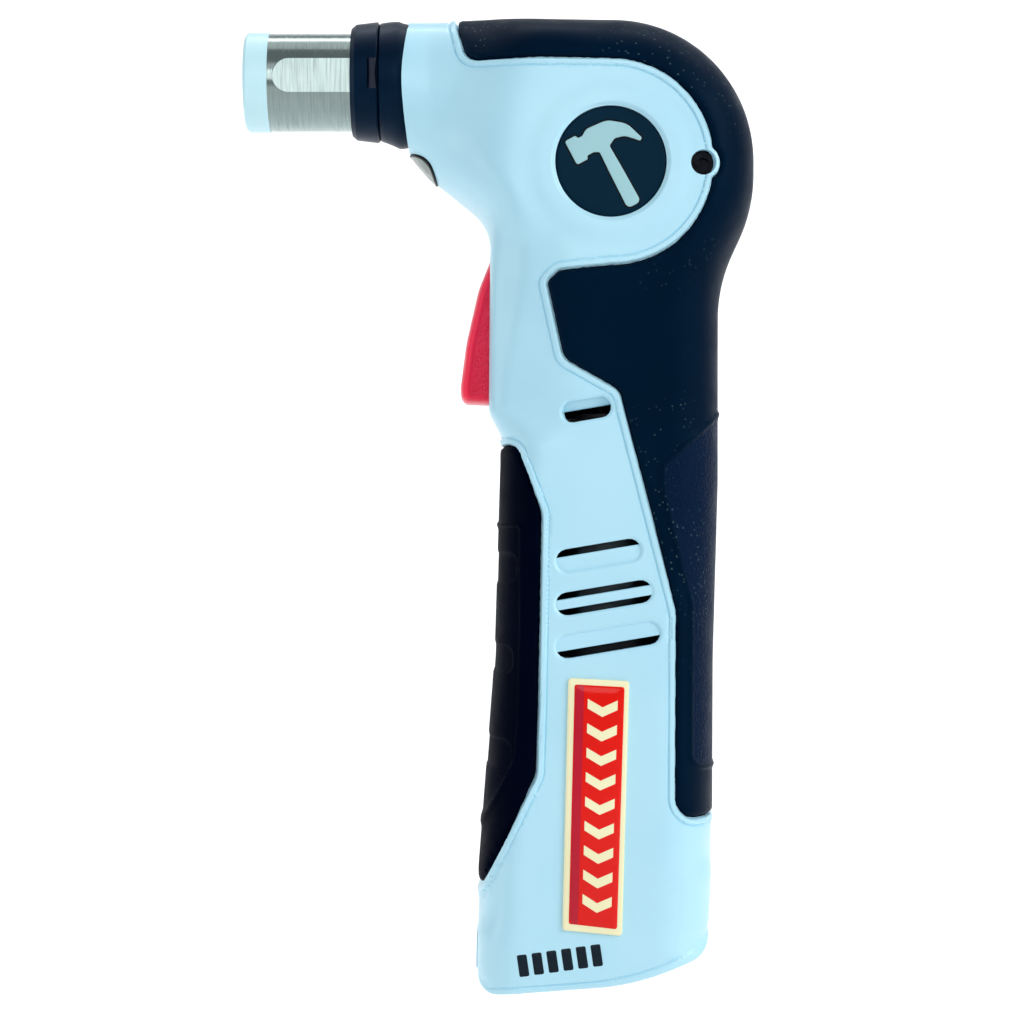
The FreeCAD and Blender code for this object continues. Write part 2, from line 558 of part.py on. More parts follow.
# ---------------------------------------------------------------- trigger and switch
def make_trigger():
    outline = [
        (64.6, -45.9, 1.2), (60.6, -54.8, 20), (57.4, -69.0, 40), (55.9, -80.8, 8), (56.6, -84.0, 1.5),
        (TRIGGER_BACK_X, -84.6, 0), (TRIGGER_BACK_X, -55.5, 2), (70.0, -53.2, 0), (70.0, -46.0, 0),
        (66.0, -45.6, 1),
    ]
    body = prism(outline, -TRIGGER_HALF, TRIGGER_HALF)
    body = fillet(body, 2.0, lambda p: abs(abs(p.y) - TRIGGER_HALF) < 1e-3 and p.x < 60.9 and p.z < -50)
    hub = rod_y(3.9, -TRIGGER_HALF, TRIGGER_HALF, TRIGGER_X, TRIGGER_Z)
    spring_pocket = rod_x(2.6, 61.2, 80, 0, TRIGGER_SPRING_Z)
    body = body.fuse(hub).cut([rod_y(2.0 + RUN, -20, 20, TRIGGER_X, TRIGGER_Z), spring_pocket])
    keep("trigger", body)
    keep("trigger_pin", rod_y(2.0, -13.0, 13.0, TRIGGER_X, TRIGGER_Z))
    x0, x1, z0, z1 = SWITCH
    keep("trigger_spring", spring(1.9, 0.3, x0 - 61.3, 6, (61.3, 0, TRIGGER_SPRING_Z), (1, 0, 0)))
    body = fillet(box(x0, x1, -8, 8, z0, z1), 1.0, lambda p: abs(abs(p.y) - 8) < 1e-3)
    body = body.cut(rod_x(2.4 + RUN, x0 - 1, 79.0, 0, PLUNGER_Z))
    tabs = [box(x1 - 3, x1, y0, y1, z0 - 2.5, z0) for y0, y1 in ((-5.5, -4.7), (4.7, 5.5))]
    keep("switch_body", body.fuse(tabs))
    keep("switch_plunger", rod_x(2.4, TRIGGER_BACK_X + 0.1, 74.0, 0, PLUNGER_Z))


# ---------------------------------------------------------------- battery
def latch_pieces(form):
    """The front and rear latches at the housing's foot, each as its button and the tongue below it."""
    half_width = LATCH_HALF - GAP
    made = []
    for x0, x1, z_high, z_low, tongue_z in (FRONT_LATCH, REAR_LATCH):
        button = form.common(box(x0, x1, -half_width, half_width, z_low, z_high))
        tongue = form.common(box(x0, x1, -half_width, half_width, tongue_z, z_low - 0.3))
        made.append((button, tongue))
    return made


def make_battery(form):
    case = battery_block(0, BATTERY_CASE_LOW_Z, BATTERY_TOP_Z)
    inner = battery_block(1.2, BATTERY_CASE_LOW_Z - 1, BATTERY_TOP_Z - 1.2)
    blades = []
    slots = []
    for x in (83.0, 91.0, 99.0):
        slots.append(box(x - 3.0, x + 3.0, -0.4, 0.4, BATTERY_TOP_Z - 2.6, BATTERY_TOP_Z + 1))
        blades.append(box(x - 3.0, x + 3.0, -0.4, 0.4, BATTERY_TOP_Z - 1.25, BATTERY_TOP_Z + 5.0))
    keep("battery_terminals", Part.makeCompound(blades))
    low = CELL_TOP_Z - CELL_LENGTH
    spots = ((81.6, 0.0), (97.6, -9.3), (97.6, 9.3))
    keep("battery_cells", Part.makeCompound([rod_z(CELL_R, low, CELL_TOP_Z, x, y) for x, y in spots]))

    foot = form.common(prism(FOOT, -60, 60))
    plug = form.common(battery_block(0, -234.0, BATTERY_CASE_LOW_Z))
    latches = latch_pieces(form)
    half_width = LATCH_HALF - GAP
    front_bridge = box(62.0, 70.0, -half_width, half_width, FRONT_LATCH[4], FRONT_LATCH[3] - 0.3)
    rear_bridge = box(BATTERY_X1, 119.0, -half_width, half_width, REAR_LATCH[4], REAR_LATCH[3] - 0.3)
    bridges = [form.common(bridge) for bridge in (front_bridge, rear_bridge)]
    x0, x1, z = FRONT_LATCH_SPRING
    base = foot.fuse([plug] + [tongue for _, tongue in latches] + bridges)
    keep("battery_base", base.cut(rod_x(LATCH_SPRING_HOLE_R, BATTERY_X0 - 1, x1 + 0.1, 0, z)))
    keep("latch_button_front", latches[0][0].cut(rod_x(LATCH_SPRING_HOLE_R, x0 - 0.1, 66, 0, z)))
    keep("latch_spring_front", spring(1.9, 0.3, x1 - x0, 6, (x0, 0, z), (1, 0, 0)))
    x0, x1, z = REAR_LATCH_SPRING
    cup = rod_x(LATCH_SPRING_CUP_R, x0 - 1.2, BATTERY_X1 - 0.5, 0, z)
    hole = rod_x(LATCH_SPRING_HOLE_R, x0 - 0.1, BATTERY_X1 + 1, 0, z)
    keep("battery_case", case.cut([inner] + slots).fuse(cup).cut(hole))
    keep("latch_button_rear", latches[1][0].cut(rod_x(LATCH_SPRING_HOLE_R, 112, x1 + 0.1, 0, z)))
    keep("latch_spring_rear", spring(1.9, 0.3, x1 - x0, 5, (x0, 0, z), (1, 0, 0)))


def battery_block(inset, z0, z1):
    """The pack's cross-section, moved in by inset, between two heights."""
    x0, x1, half_width = BATTERY_X0 + inset, BATTERY_X1 - inset, BATTERY_HALF - inset
    return corner_rounded(box(x0, x1, -half_width, half_width, z0, z1), BATTERY_CORNER - inset)


def corner_rounded(shape, radius):
    """Rounds a box's four upright edges."""
    edges = [e for e in shape.Edges if abs(e.Vertexes[0].X - e.Vertexes[-1].X) < 1e-6
             and abs(e.Vertexes[0].Y - e.Vertexes[-1].Y) < 1e-6]
    return shape.makeFillet(radius, edges)


# ---------------------------------------------------------------- housing
def make_housing(form):
    rear_region, front_region = grip_regions()
    skin = form.cut(outer_form(SKIN))
    rear_skin = skin.common(rear_region)
    front_skin = skin.common(front_region)
    cavity = outer_form(WALL).common(box(NOSE_FRONT_X + 2.4, 150, -60, 60, FLOOR_Z, 40))
    shell = form.cut(rear_skin).cut(front_skin).cut(cavity)
    screw_holes = [rod_y(3.2, y0, y1, SCREW_X, SCREW_Z) for y0, y1 in ((-30, -21.6), (21.6, 30))]
    for side, word in ((-1, "left"), (1, "right")):
        grip = half(rear_skin, side).cut(screw_holes)
        keep(word + "_rear_grip", max(grip.Solids, key=lambda solid: solid.Volume))
        grip = half(front_skin, side)
        keep(word + "_front_grip", max(grip.Solids, key=lambda solid: solid.Volume))

    ribs = []
    for z in (-97.0, -138.0):
        rib = outer_form(WALL - 0.2).common(box(40, 150, -60, 60, z - 1.25, z + 1.25))
        ribs.append(rib.cut(rod_z(MOTOR_R + 0.05, -160, -80)))
    deck = outer_form(WALL - 0.2).common(box(40, 150, -60, 60, -156.5, -151.0))
    ribs.append(deck.cut(box(76.0, 107.0, -10.0, 10.0, -160, -150)))
    louvres = []
    for i, (x, z, length, _) in enumerate(VENTS[1:]):
        for y0, y1 in ((-21.5, -18.6), (18.6, 21.5)):
            bar = box(x - length / 2 - 2, x + length / 2 + 2, y0, y1, -0.7, 0.7)
            bar.rotate(V(x, 0, 0), V(0, -1, 0), VENT_TILT)
            bar.translate(V(0, 0, z + 1.6 * (i - 1)))
            louvres.append(bar)
    seats = [rod_y(4.2, y0, y1, TRIGGER_X, TRIGGER_Z) for y0, y1 in ((-24, -9.4), (9.4, 24))]
    seats += [rod_y(5.2, y0, y1, SCREW_X, SCREW_Z) for y0, y1 in ((-24.6, -19.6), (19.6, 24.6))]
    seats.append(rod_y(3.4, -24, 24, *SIDE_SCREW))
    inside = outer_form(WALL - 0.2)
    whole = shell.fuse(ribs + louvres + [inside.common(seat) for seat in seats])

    bay = battery_block(-BAY_GAP, -250, BATTERY_TOP_Z + 0.5)
    cuts = [bay, prism(FOOT, -60, 60)]
    cuts.append(box(40.0, BATTERY_X0, -LATCH_HALF, LATCH_HALF, -250, FRONT_LATCH[2] + 0.3))
    cuts.append(box(BATTERY_X1, 140.0, -LATCH_HALF, LATCH_HALF, -250, REAR_LATCH[2] + 0.3))
    cuts.append(rod_x(BARREL_R + 0.05, 30, 84))
    cuts.append(rod_y(CASE_R + 0.15, -CASE_HALF - 0.15, CASE_HALF + 0.15))
    cuts.append(rod_z(12.6, -62.2, -40))
    window = box(50.0, 66.4, -TRIGGER_HALF - GAP, TRIGGER_HALF + GAP, -86.6, -44.6)
    cuts.append(window)
    cuts.append(rod_y(2.0, -13.0, 13.0, TRIGGER_X, TRIGGER_Z))
    for x, z, length, width in VENTS:
        for y0, y1 in ((-30, -20.6), (20.6, 30)):
            cuts.append(slot(length, width, y0, y1, x, z, VENT_TILT))
    for side in (-1, 1):
        y0, y1 = sorted((side * (HEAD_HALF - EMBLEM_DEPTH), side * 30))
        cuts.append(rod_y(EMBLEM_R + 0.15, y0, y1))
    cuts.append(prism(BADGE, -30, -HANDLE_HALF + BADGE_DEPTH))
    cuts.append(box(88, 106, HANDLE_HALF - 0.5, 30, -212, -166))
    cuts.append(lens_cylinder(LENS_R + GAP, -6.0, LENS_DEEP + LENS_BOARD + 0.2))
    cuts += screw_holes + screw_shapes(False)
    cuts.append(rod_y(3.2, 19.0, 30, *SIDE_SCREW))
    whole = whole.cut(cuts)

    for side, word in ((-1, "left"), (1, "right")):
        piece = half(whole, side)
        piece = max(piece.Solids, key=lambda solid: solid.Volume)
        keep(word + "_housing", piece)

    keep("led_lens", form.common(lens_cylinder(LENS_R, -6.0, LENS_DEEP)))
    keep("led_board", lens_cylinder(LENS_R - 0.3, LENS_DEEP + 0.1, LENS_DEEP + LENS_BOARD))


def lens_cylinder(radius, start, end):
    """A cylinder on the work light's axis, between two depths under the nose's lower face."""
    tilt = math.radians(LENS_TILT)
    inwards = V(math.cos(tilt), 0, math.sin(tilt))
    return Part.makeCylinder(radius, end - start, V(*LENS_CENTRE) + inwards * start, inwards)


def screw_shapes(with_sockets):
    """The housing's three screws, with or without the sockets in their heads."""
    made = []
    places = [(SCREW_X, SCREW_Z, -23.6, 4.2), (SCREW_X, SCREW_Z, 23.6, 4.2), (*SIDE_SCREW, 21.0, 26.0)]
    for x, z, y, shank in places:       # y is the head's outer face
        side = 1 if y > 0 else -1
        under = y - side * 2.0
        head = rod_y(3.1, min(y, under), max(y, under), x, z)
        tip = under - side * shank
        screw = head.fuse(rod_y(1.4, min(tip, under), max(tip, under), x, z))
        if with_sockets:
            deep = y - side * 1.4
            screw = screw.cut(rod_y(1.4, min(y, deep), max(y, deep), x, z))
        made.append(screw)
    return made


def make_trim():
    for side, word in ((-1, "left"), (1, "right")):
        floor = side * (HEAD_HALF - EMBLEM_DEPTH)
        top = side * (HEAD_HALF - EMBLEM_DEPTH + EMBLEM_THICK)
        y0, y1 = sorted((floor, top))
        keep(word + "_emblem_disc", rod_y(EMBLEM_R, y0, y1))
        y0, y1 = sorted((top, top + side * 0.5))
        handle = box(WHEEL_X - 8.0, WHEEL_X + 4.5, y0, y1, WHEEL_Z - 1.3, WHEEL_Z + 1.3)
        head = box(WHEEL_X + 3.0, WHEEL_X + 7.0, y0, y1, WHEEL_Z - 6.5, WHEEL_Z + 6.5)
        glyph = handle.fuse(head)
        glyph.rotate(V(WHEEL_X, 0, WHEEL_Z), V(0, 1, 0), -side * 50)
        keep(word + "_emblem_glyph", glyph)
    low = -HANDLE_HALF + BADGE_DEPTH
    plate = prism(BADGE, low - 1.1, low)
    inlay_outline = [(84.9, -156.0, 1), (97.8, -156.7, 1), (96.0, -218.0, 1), (83.4, -216.7, 1)]
    inlay = prism(inlay_outline, low - 1.5, low - 1.1)
    keep("badge_plate", plate)
    keep("badge_inlay", inlay)
    keep("rating_label", box(88, 106, HANDLE_HALF - 0.5, HANDLE_HALF - 0.1, -212, -166))
    keep("housing_screws", Part.makeCompound(screw_shapes(True)))
    block = box(76.0, 107.0, -10.0, 10.0, -156.5, -151.0)
    cuts = [box(x - 3.3, x + 3.3, -0.55, 0.55, -158, -152.2) for x in (83.0, 91.0, 99.0)]
    keep("terminal_block", block.cut(cuts))


form = outer_form(0.0)
make_nose()
make_mechanism()
make_motor()
make_trigger()
make_battery(form)
make_housing(form)
make_trim()

os.makedirs("parts", exist_ok=True)
for name, shape in parts.items():
    shape.exportStep(os.path.join("parts", name + ".step"))
print(len(parts), "pieces")
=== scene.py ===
"""Looks of the cordless auto hammer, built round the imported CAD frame.

The clamshell's sides are one field: the side view is triangulated, each point is given its half width, and
small reliefs (beads, grooves, grips) are pressed along the surface's normal. Lengths in the code are in
millimetres and become metres when a mesh is made.
"""
import bpy
import bmesh
import math
import numpy as np
from collections import Counter
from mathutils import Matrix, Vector, geometry


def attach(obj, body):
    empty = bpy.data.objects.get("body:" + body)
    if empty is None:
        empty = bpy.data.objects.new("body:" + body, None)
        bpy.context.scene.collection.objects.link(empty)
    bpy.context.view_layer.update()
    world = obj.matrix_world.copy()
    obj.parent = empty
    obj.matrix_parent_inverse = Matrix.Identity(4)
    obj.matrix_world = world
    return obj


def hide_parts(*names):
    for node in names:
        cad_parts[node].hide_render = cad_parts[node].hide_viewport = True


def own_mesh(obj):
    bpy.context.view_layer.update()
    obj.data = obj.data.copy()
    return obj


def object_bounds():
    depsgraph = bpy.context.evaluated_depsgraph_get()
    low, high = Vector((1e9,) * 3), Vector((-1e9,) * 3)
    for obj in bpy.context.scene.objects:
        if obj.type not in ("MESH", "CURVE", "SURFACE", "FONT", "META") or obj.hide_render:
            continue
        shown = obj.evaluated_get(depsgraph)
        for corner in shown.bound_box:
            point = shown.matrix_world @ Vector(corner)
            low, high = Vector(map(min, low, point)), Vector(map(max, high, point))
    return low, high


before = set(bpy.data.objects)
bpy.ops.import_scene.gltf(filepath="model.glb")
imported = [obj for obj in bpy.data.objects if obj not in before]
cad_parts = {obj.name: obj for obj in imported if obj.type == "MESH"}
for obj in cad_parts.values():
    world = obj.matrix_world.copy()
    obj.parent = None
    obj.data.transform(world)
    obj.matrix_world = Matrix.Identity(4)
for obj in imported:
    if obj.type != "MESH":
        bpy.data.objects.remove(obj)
cad_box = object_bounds()

MM = 0.001
AXIS = np.array((69.4, -112.4))         # where the view's axis meets the side view
WHEEL_X, WHEEL_Z = 94.3, -24.1
HEAD_HALF, HANDLE_HALF = 26.5, 23.4
EMBLEM_R = 13.9
HEAD_RING_R = 26.1
SCREW_X, SCREW_Z = 117.6, -24.4
SHELL = 2.2             # wall of the clamshell
EDGE_FLAT = 0.45        # half width of the flat that runs round the outline
SLEEVE_ROOM, SLEEVE_REACH = 13.3, 63.0      # the clear space round the nose's axis: radius, and x of its end

# Side outlines as (x, z, corner radius).
OUTER = [
    (42.6, 16.0, 0), (132.7, 16.0, 37), (132.7, -33.1, 40), (123.4, -53.3, 40), (123.4, -105.0, 60),
    (122.1, -150.0, 60), (121.9, -195.0, 60), (120.2, -225.0, 8), (100.0, -232.8, 60), (60.0, -235.8, 5),
    (60.6, -205.0, 30), (64.8, -150.0, 80), (66.3, -100.0, 20), (66.3, -92.5, 5), (63.1, -86.5, 5),
    (63.5, -37.6, 12), (49.3, -26.5, 16), (42.2, -18.4, 0),
]
NOSE_FRONT = [(42.2, -18.4, 0), (40.9, -0.8, 60), (42.6, 16.0, 0)]
REAR_GRIP = [
    (54.6, 30.0, 0), (55.4, 12.0, 6), (57.6, 2.9, 4), (70.0, 2.3, 0), (94.3, 2.0, 0), (103.0, -8.0, 0),
    (108.0, -24.1, 0), (103.0, -40.0, 0), (94.3, -50.2, 0), (81.0, -51.5, 3), (78.0, -54.2, 2),
    (82.3, -73.6, 4.5), (96.6, -81.6, 4.5), (111.2, -137.8, 8), (111.0, -190.1, 5.5), (145.0, -190.1, 0),
    (145.0, 30.0, 0),
]
FRONT_GRIP = [
    (50.0, -95.5, 0), (70.0, -95.5, 3), (76.8, -112.7, 8), (76.0, -159.9, 60), (75.4, -178.9, 6),
    (60.0, -210.0, 0), (50.0, -210.0, 0),
]
PANEL_BEAD = [
    (126.0, -84.3, 0), (107.5, -100.6, 3.5), (107.7, -107.0, 12), (112.6, -127.9, 25), (114.9, -135.2, 10),
    (114.7, -177.4, 4), (126.0, -177.6, 0),
]
FINGER_RIDGE = [
    (58.0, -115.6, 0), (71.9, -115.6, 1.5), (71.9, -140.0, 60), (71.3, -166.0, 15), (70.4, -175.5, 6),
    (58.0, -199.4, 0),
]
FINGER_PADS = [(70.6, -122.6, -130.6), (69.6, -146.2, -153.6), (69.2, -170.0, -178.0)]    # x, z high, z low
FOOT_LINE = [(50.0, -234.4, 0), (100.0, -230.7, 60), (130.0, -216.1, 0)]
VENTS = [       # x, z, length, width
    (88.2, -86.5, 12.7, 5.3), (91.3, -123.4, 21.8, 5.9), (92.7, -134.1, 24.7, 5.9), (93.7, -144.8, 26.8, 5.9),
]
VENT_TILT = math.radians(9.5)


# ---- plane geometry
def smooth(low, high, value):
    """0 below low, 1 above high, and an S between them."""
    t = np.clip((value - low) / (high - low), 0.0, 1.0)
    return t * t * (3 - 2 * t)


def spaced(points, step, closed):
    """Adds points so that no run of a line is longer than step."""
    made = []
    count = len(points) if closed else len(points) - 1
    for i in range(count):
        a, b = np.array(points[i]), np.array(points[(i + 1) % len(points)])
        pieces = max(1, int(np.ceil(np.linalg.norm(b - a) / step)))
        made += [a + (b - a) * k / pieces for k in range(pieces)]
    if not closed:
        made.append(np.array(points[-1]))
    return np.array(made)


def rounded(corners, step=1.2, closed=True):
    """A line through corners, each rounded to its own radius, as evenly spaced points."""
    points = []
    last = len(corners) - 1
    for i, (x, z, r) in enumerate(corners):
        here = np.array((x, z))
        if r == 0 or (not closed and i in (0, last)):
            points.append(here)
            continue
        back = np.array(corners[i - 1][:2]) - here
        ahead = np.array(corners[(i + 1) % len(corners)][:2]) - here
        back /= np.linalg.norm(back)
        ahead /= np.linalg.norm(ahead)
        half_angle = math.acos(np.clip(back @ ahead, -1, 1)) / 2
        middle = (back + ahead) / np.linalg.norm(back + ahead)
        centre = here + middle * r / math.sin(half_angle)
        start = here + back * r / math.tan(half_angle)
        sweep = math.pi - 2 * half_angle
        turn = 1 if back[0] * ahead[1] - back[1] * ahead[0] < 0 else -1
        steps = max(2, int(np.ceil(sweep / math.radians(7))), int(np.ceil(sweep * r / step)))
        for k in range(steps + 1):
            a = turn * sweep * k / steps
            v = start - centre
            points.append(centre + np.array((v[0] * math.cos(a) - v[1] * math.sin(a),
                                             v[0] * math.sin(a) + v[1] * math.cos(a))))
    return spaced(points, step, closed)


def circle(x, z, r, step=0.9):
    """A circle as points about one step apart."""
    count = max(16, int(2 * math.pi * r / step))
    a = np.arange(count) * 2 * math.pi / count
    return np.column_stack((x + r * np.cos(a), z + r * np.sin(a)))


def turned(points, angle, x, z, scale=1.0):
    """Points turned by an angle, scaled, and put at x, z."""
    c, s = math.cos(angle) * scale, math.sin(angle) * scale
    return np.column_stack((x + points[:, 0] * c - points[:, 1] * s, z + points[:, 0] * s + points[:, 1] * c))


def slot_line(x, z, length, width):
    """A round-ended vent slot."""
    reach, r = (length - width) / 2, width / 2
    ends = []
    for side in (1, -1):
        for a in np.linspace(-math.pi / 2, math.pi / 2, 9):
            ends.append((side * (reach + r * math.cos(a)), side * r * math.sin(a)))
    return turned(spaced(ends, 0.6, True), VENT_TILT, x, z)


def distance(points, line, closed=True):
    """How far each point is from a line."""
    a = line if closed else line[:-1]
    b = np.roll(line, -1, axis=0) if closed else line[1:]
    run = b - a
    length2 = np.maximum((run ** 2).sum(1), 1e-12)
    best = np.empty(len(points))
    for i in range(0, len(points), 1500):
        p = points[i:i + 1500, None, :] - a[None]
        t = np.clip((p * run[None]).sum(2) / length2, 0, 1)
        gap = p - t[..., None] * run[None]
        best[i:i + 1500] = np.sqrt((gap ** 2).sum(2).min(1))
    return best


def inside(points, line):
    """Whether each point is inside a closed line."""
    a, b = line, np.roll(line, -1, axis=0)
    found = np.zeros(len(points), bool)
    for i in range(0, len(points), 1500):
        x, z = points[i:i + 1500, 0:1], points[i:i + 1500, 1:2]
        crossing = (a[:, 1] > z) != (b[:, 1] > z)
        rise = np.where(np.abs(b[:, 1] - a[:, 1]) < 1e-12, 1e-12, b[:, 1] - a[:, 1])
        at = a[:, 0] + (z - a[:, 1]) * (b[:, 0] - a[:, 0]) / rise
        found[i:i + 1500] = (crossing & (x < at)).sum(1) % 2 == 1
    return found


def depth(points, line):
    """Distance to a closed line, positive inside it."""
    return distance(points, line) * np.where(inside(points, line), 1, -1)


def turning(line):
    """Positive for an anticlockwise line."""
    a, b = line, np.roll(line, -1, axis=0)
    return float((a[:, 0] * b[:, 1] - b[:, 0] * a[:, 1]).sum())


def moved_line(line, amount, closed=True):
    """A line moved to its left by amount (to the inside of an anticlockwise one)."""
    if closed:
        run = np.roll(line, -1, axis=0) - np.roll(line, 1, axis=0)
    else:
        run = np.gradient(line, axis=0)
    normal = np.column_stack((-run[:, 1], run[:, 0]))
    normal /= np.maximum(np.linalg.norm(normal, axis=1), 1e-9)[:, None]
    return line + normal * amount


def inset(line, amount):
    """A closed line moved inwards by amount."""
    return moved_line(line, amount if turning(line) > 0 else -amount)


def ring_points(line, offsets, closed=True):
    """Points on both sides of a line at the given distances, without those that come too near it."""
    rows = []
    for amount in offsets:
        for side in (1, -1):
            row = moved_line(line, side * amount, closed)
            rows.append(row[distance(row, line, closed) > amount * 0.93])
    return np.vstack(rows)


# ---- the side's lines
def drawn_in(line):
    """The outline made a little smaller, because crowned edges stand nearer the viewer than the middle."""
    share = (0.0025 + 0.0040 * smooth(50.0, 80.0, line[:, 0])) * smooth(-222.0, -190.0, line[:, 1])
    return AXIS + (line - AXIS) * (1 - share)[:, None]


edge_line = drawn_in(rounded(OUTER, closed=False))          # the outline without the nose's front
NOSE_FRONT[0] = (*edge_line[-1], 0)
NOSE_FRONT[-1] = (*edge_line[0], 0)
nose_line = rounded(NOSE_FRONT, closed=False)
silhouette = np.vstack((edge_line, nose_line[1:-1]))
low_part = np.where(edge_line[:, 1] < np.where(edge_line[:, 0] > 90.0, -219.0, -231.0))[0]
back_edge = edge_line[:low_part[0] + 1]
low_edge = edge_line[low_part[0]:low_part[-1] + 1]
front_edge = edge_line[low_part[-1]:]
underside = front_edge[(front_edge[:, 0] < 62.0) & (front_edge[:, 1] > -45.0)][::-1]
rear_line = rounded(REAR_GRIP)
front_line = rounded(FRONT_GRIP)
panel_line = rounded(PANEL_BEAD, closed=False)
ridge_line = rounded(FINGER_RIDGE, closed=False)
pad_lines = [rounded([(50.0, high, 0), (x, high, 2.5), (x, low, 2.5), (50.0, low, 0)], 0.8)
             for x, high, low in FINGER_PADS]
foot_line = rounded(FOOT_LINE, closed=False)
lug_line = circle(SCREW_X, SCREW_Z, 4.6)
ring_line = circle(WHEEL_X, WHEEL_Z, HEAD_RING_R)
emblem_line = circle(WHEEL_X, WHEEL_Z, EMBLEM_R + 0.15)
screw_line = circle(SCREW_X, SCREW_Z, 3.2, 0.5)
vent_lines = [slot_line(*vent) for vent in VENTS]


def rear_depth(points):
    """Distance into the rear grip, negative on the pale shell."""
    rear = depth(points, rear_line)
    head = depth(points, ring_line)
    lug = depth(points, lug_line)
    return np.minimum(rear, -np.maximum(head, lug))


def from_wheel(points):
    return np.hypot(points[:, 0] - WHEEL_X, points[:, 1] - WHEEL_Z)


def band(value, low, high, fade):
    """1 between low and high, fading to 0 outside."""
    return smooth(low - fade, low, value) * (1 - smooth(high, high + fade, value))


def crown(d, reach, power):
    """Share of the full width at a depth d from an edge that is rounded over reach."""
    t = np.clip(1 - d / reach, 0, 1)
    return np.maximum(1 - t ** power, 0) ** (1 / power)


def half_width(points):
    """The base surface's half width at each point of the side view.

    The handle and head are a slab with crowned edges, flat at the trigger's window and the latch notches. The
    nose is a row of rounded sections round the sleeve's axis, and runs into the slab.
    """
    x, z = points[:, 0], points[:, 1]
    d = np.minimum(distance(points, back_edge, False), distance(points, front_edge, False))
    head = smooth(-88.0, -50.0, z)
    front = 1 - smooth(78.0, 98.0, x)
    top = HANDLE_HALF + (HEAD_HALF - HANDLE_HALF) * head
    window = front * band(z, -87.5, -46.0, 9.0)
    latches = front * band(z, -230.5, -221.0, 6.0) + (1 - front) * band(z, -216.5, -205.5, 6.0)
    flat = EDGE_FLAT + 9.4 * window + 7.0 * latches * (1 - window)
    slab = flat + (top - flat) * crown(d, 15.5 - 3.5 * front, 2.35)
    # Beside the trigger a ramp rises from the window's edge and meets the face in a soft crease.
    ramp = 9.85 + 6.1 * crown(d, 1.6, 2.0) + 0.85 * d
    face = top - 4.4 * (1 - smooth(0.0, 24.0, d))
    creased = -0.5 * np.logaddexp(-ramp / 0.5, -face / 0.5)
    slab = slab + (np.maximum(creased, flat) - slab) * window
    slab = slab * (0.87 + 0.13 * crown(distance(points, low_edge, False), 3.2, 2.2))
    # The nose, between its underside and the flat top edge.
    low = np.interp(x, *np.vstack((underside, [(70.0, -44.0), (80.0, -52.0), (90.0, -60.0)])).T)
    high = edge_line[0][1]
    t = np.clip(np.abs(z - (high + low) / 2) / ((high - low) / 2), 0, 1)
    wide = np.interp(x, [41.5, 48.0, 62.0, 76.0, 88.0], [16.6, 16.7, 20.5, 25.4, 26.5])
    power = np.interp(x, [41.5, 48.0, 62.0, 78.0], [2.0, 2.05, 2.5, 3.6])
    nose = EDGE_FLAT + (wide - EDGE_FLAT) * np.maximum(1 - t ** power, 0) ** (1 / power)
    return nose + (slab - nose) * smooth(54.0, 79.0, x - 0.25 * z)


def near(low, high, gap):
    """1 closer than low, fading to 0 at high."""
    return 1 - smooth(low, high, gap)


def relief(points):
    """How far the surface stands off its base form, along the normal.

    The pale shell lies lower than its rim and has a fine groove along it, the rubber has beads, a ridge and
    finger pads, and a groove parts them. The head swells round the emblem, and the vents' edges are rounded.
    """
    rear, front = rear_depth(points), depth(points, front_line)
    rubber = np.maximum(rear, front)
    gap = -rubber
    pale = -0.30 + 0.42 * smooth(0.35, 0.7, gap) * near(1.6, 1.9, gap)
    pale -= 0.26 * near(0.04, 0.32, np.abs(gap - 2.05))
    groove = near(0.12, 0.42, np.abs(rubber))
    skin = -0.55 * near(0.0, 1.1, rubber)
    skin += 0.42 * near(0.20, 0.85, distance(points, panel_line, False)) * (rear > 1.2)
    skin += 0.40 * near(0.20, 0.85, distance(points, ridge_line, False)) * (front > 1.2)
    for line in pad_lines:
        skin -= 0.30 * smooth(-0.1, 0.35, depth(points, line)) * (front > 0)
    rise = np.where(rubber > 0, skin, pale) - 0.75 * groove
    spread = from_wheel(points)
    rise += 0.6 * near(16.8, 22.0, spread) - 0.9 * near(EMBLEM_R + 0.15, EMBLEM_R + 1.25, spread)
    for line in vent_lines:
        rise -= 0.45 * near(0.0, 0.7, distance(points, line))
    inboard = smooth(61.5, 66.0, points[:, 0]) * near(111.0, 117.0, points[:, 0])
    return rise - 0.42 * inboard * near(0.10, 0.38, distance(points, foot_line, False))


def surface_at(points):
    """The finished surface's half width, for pieces that lie on it."""
    return half_width(points) + relief(points)


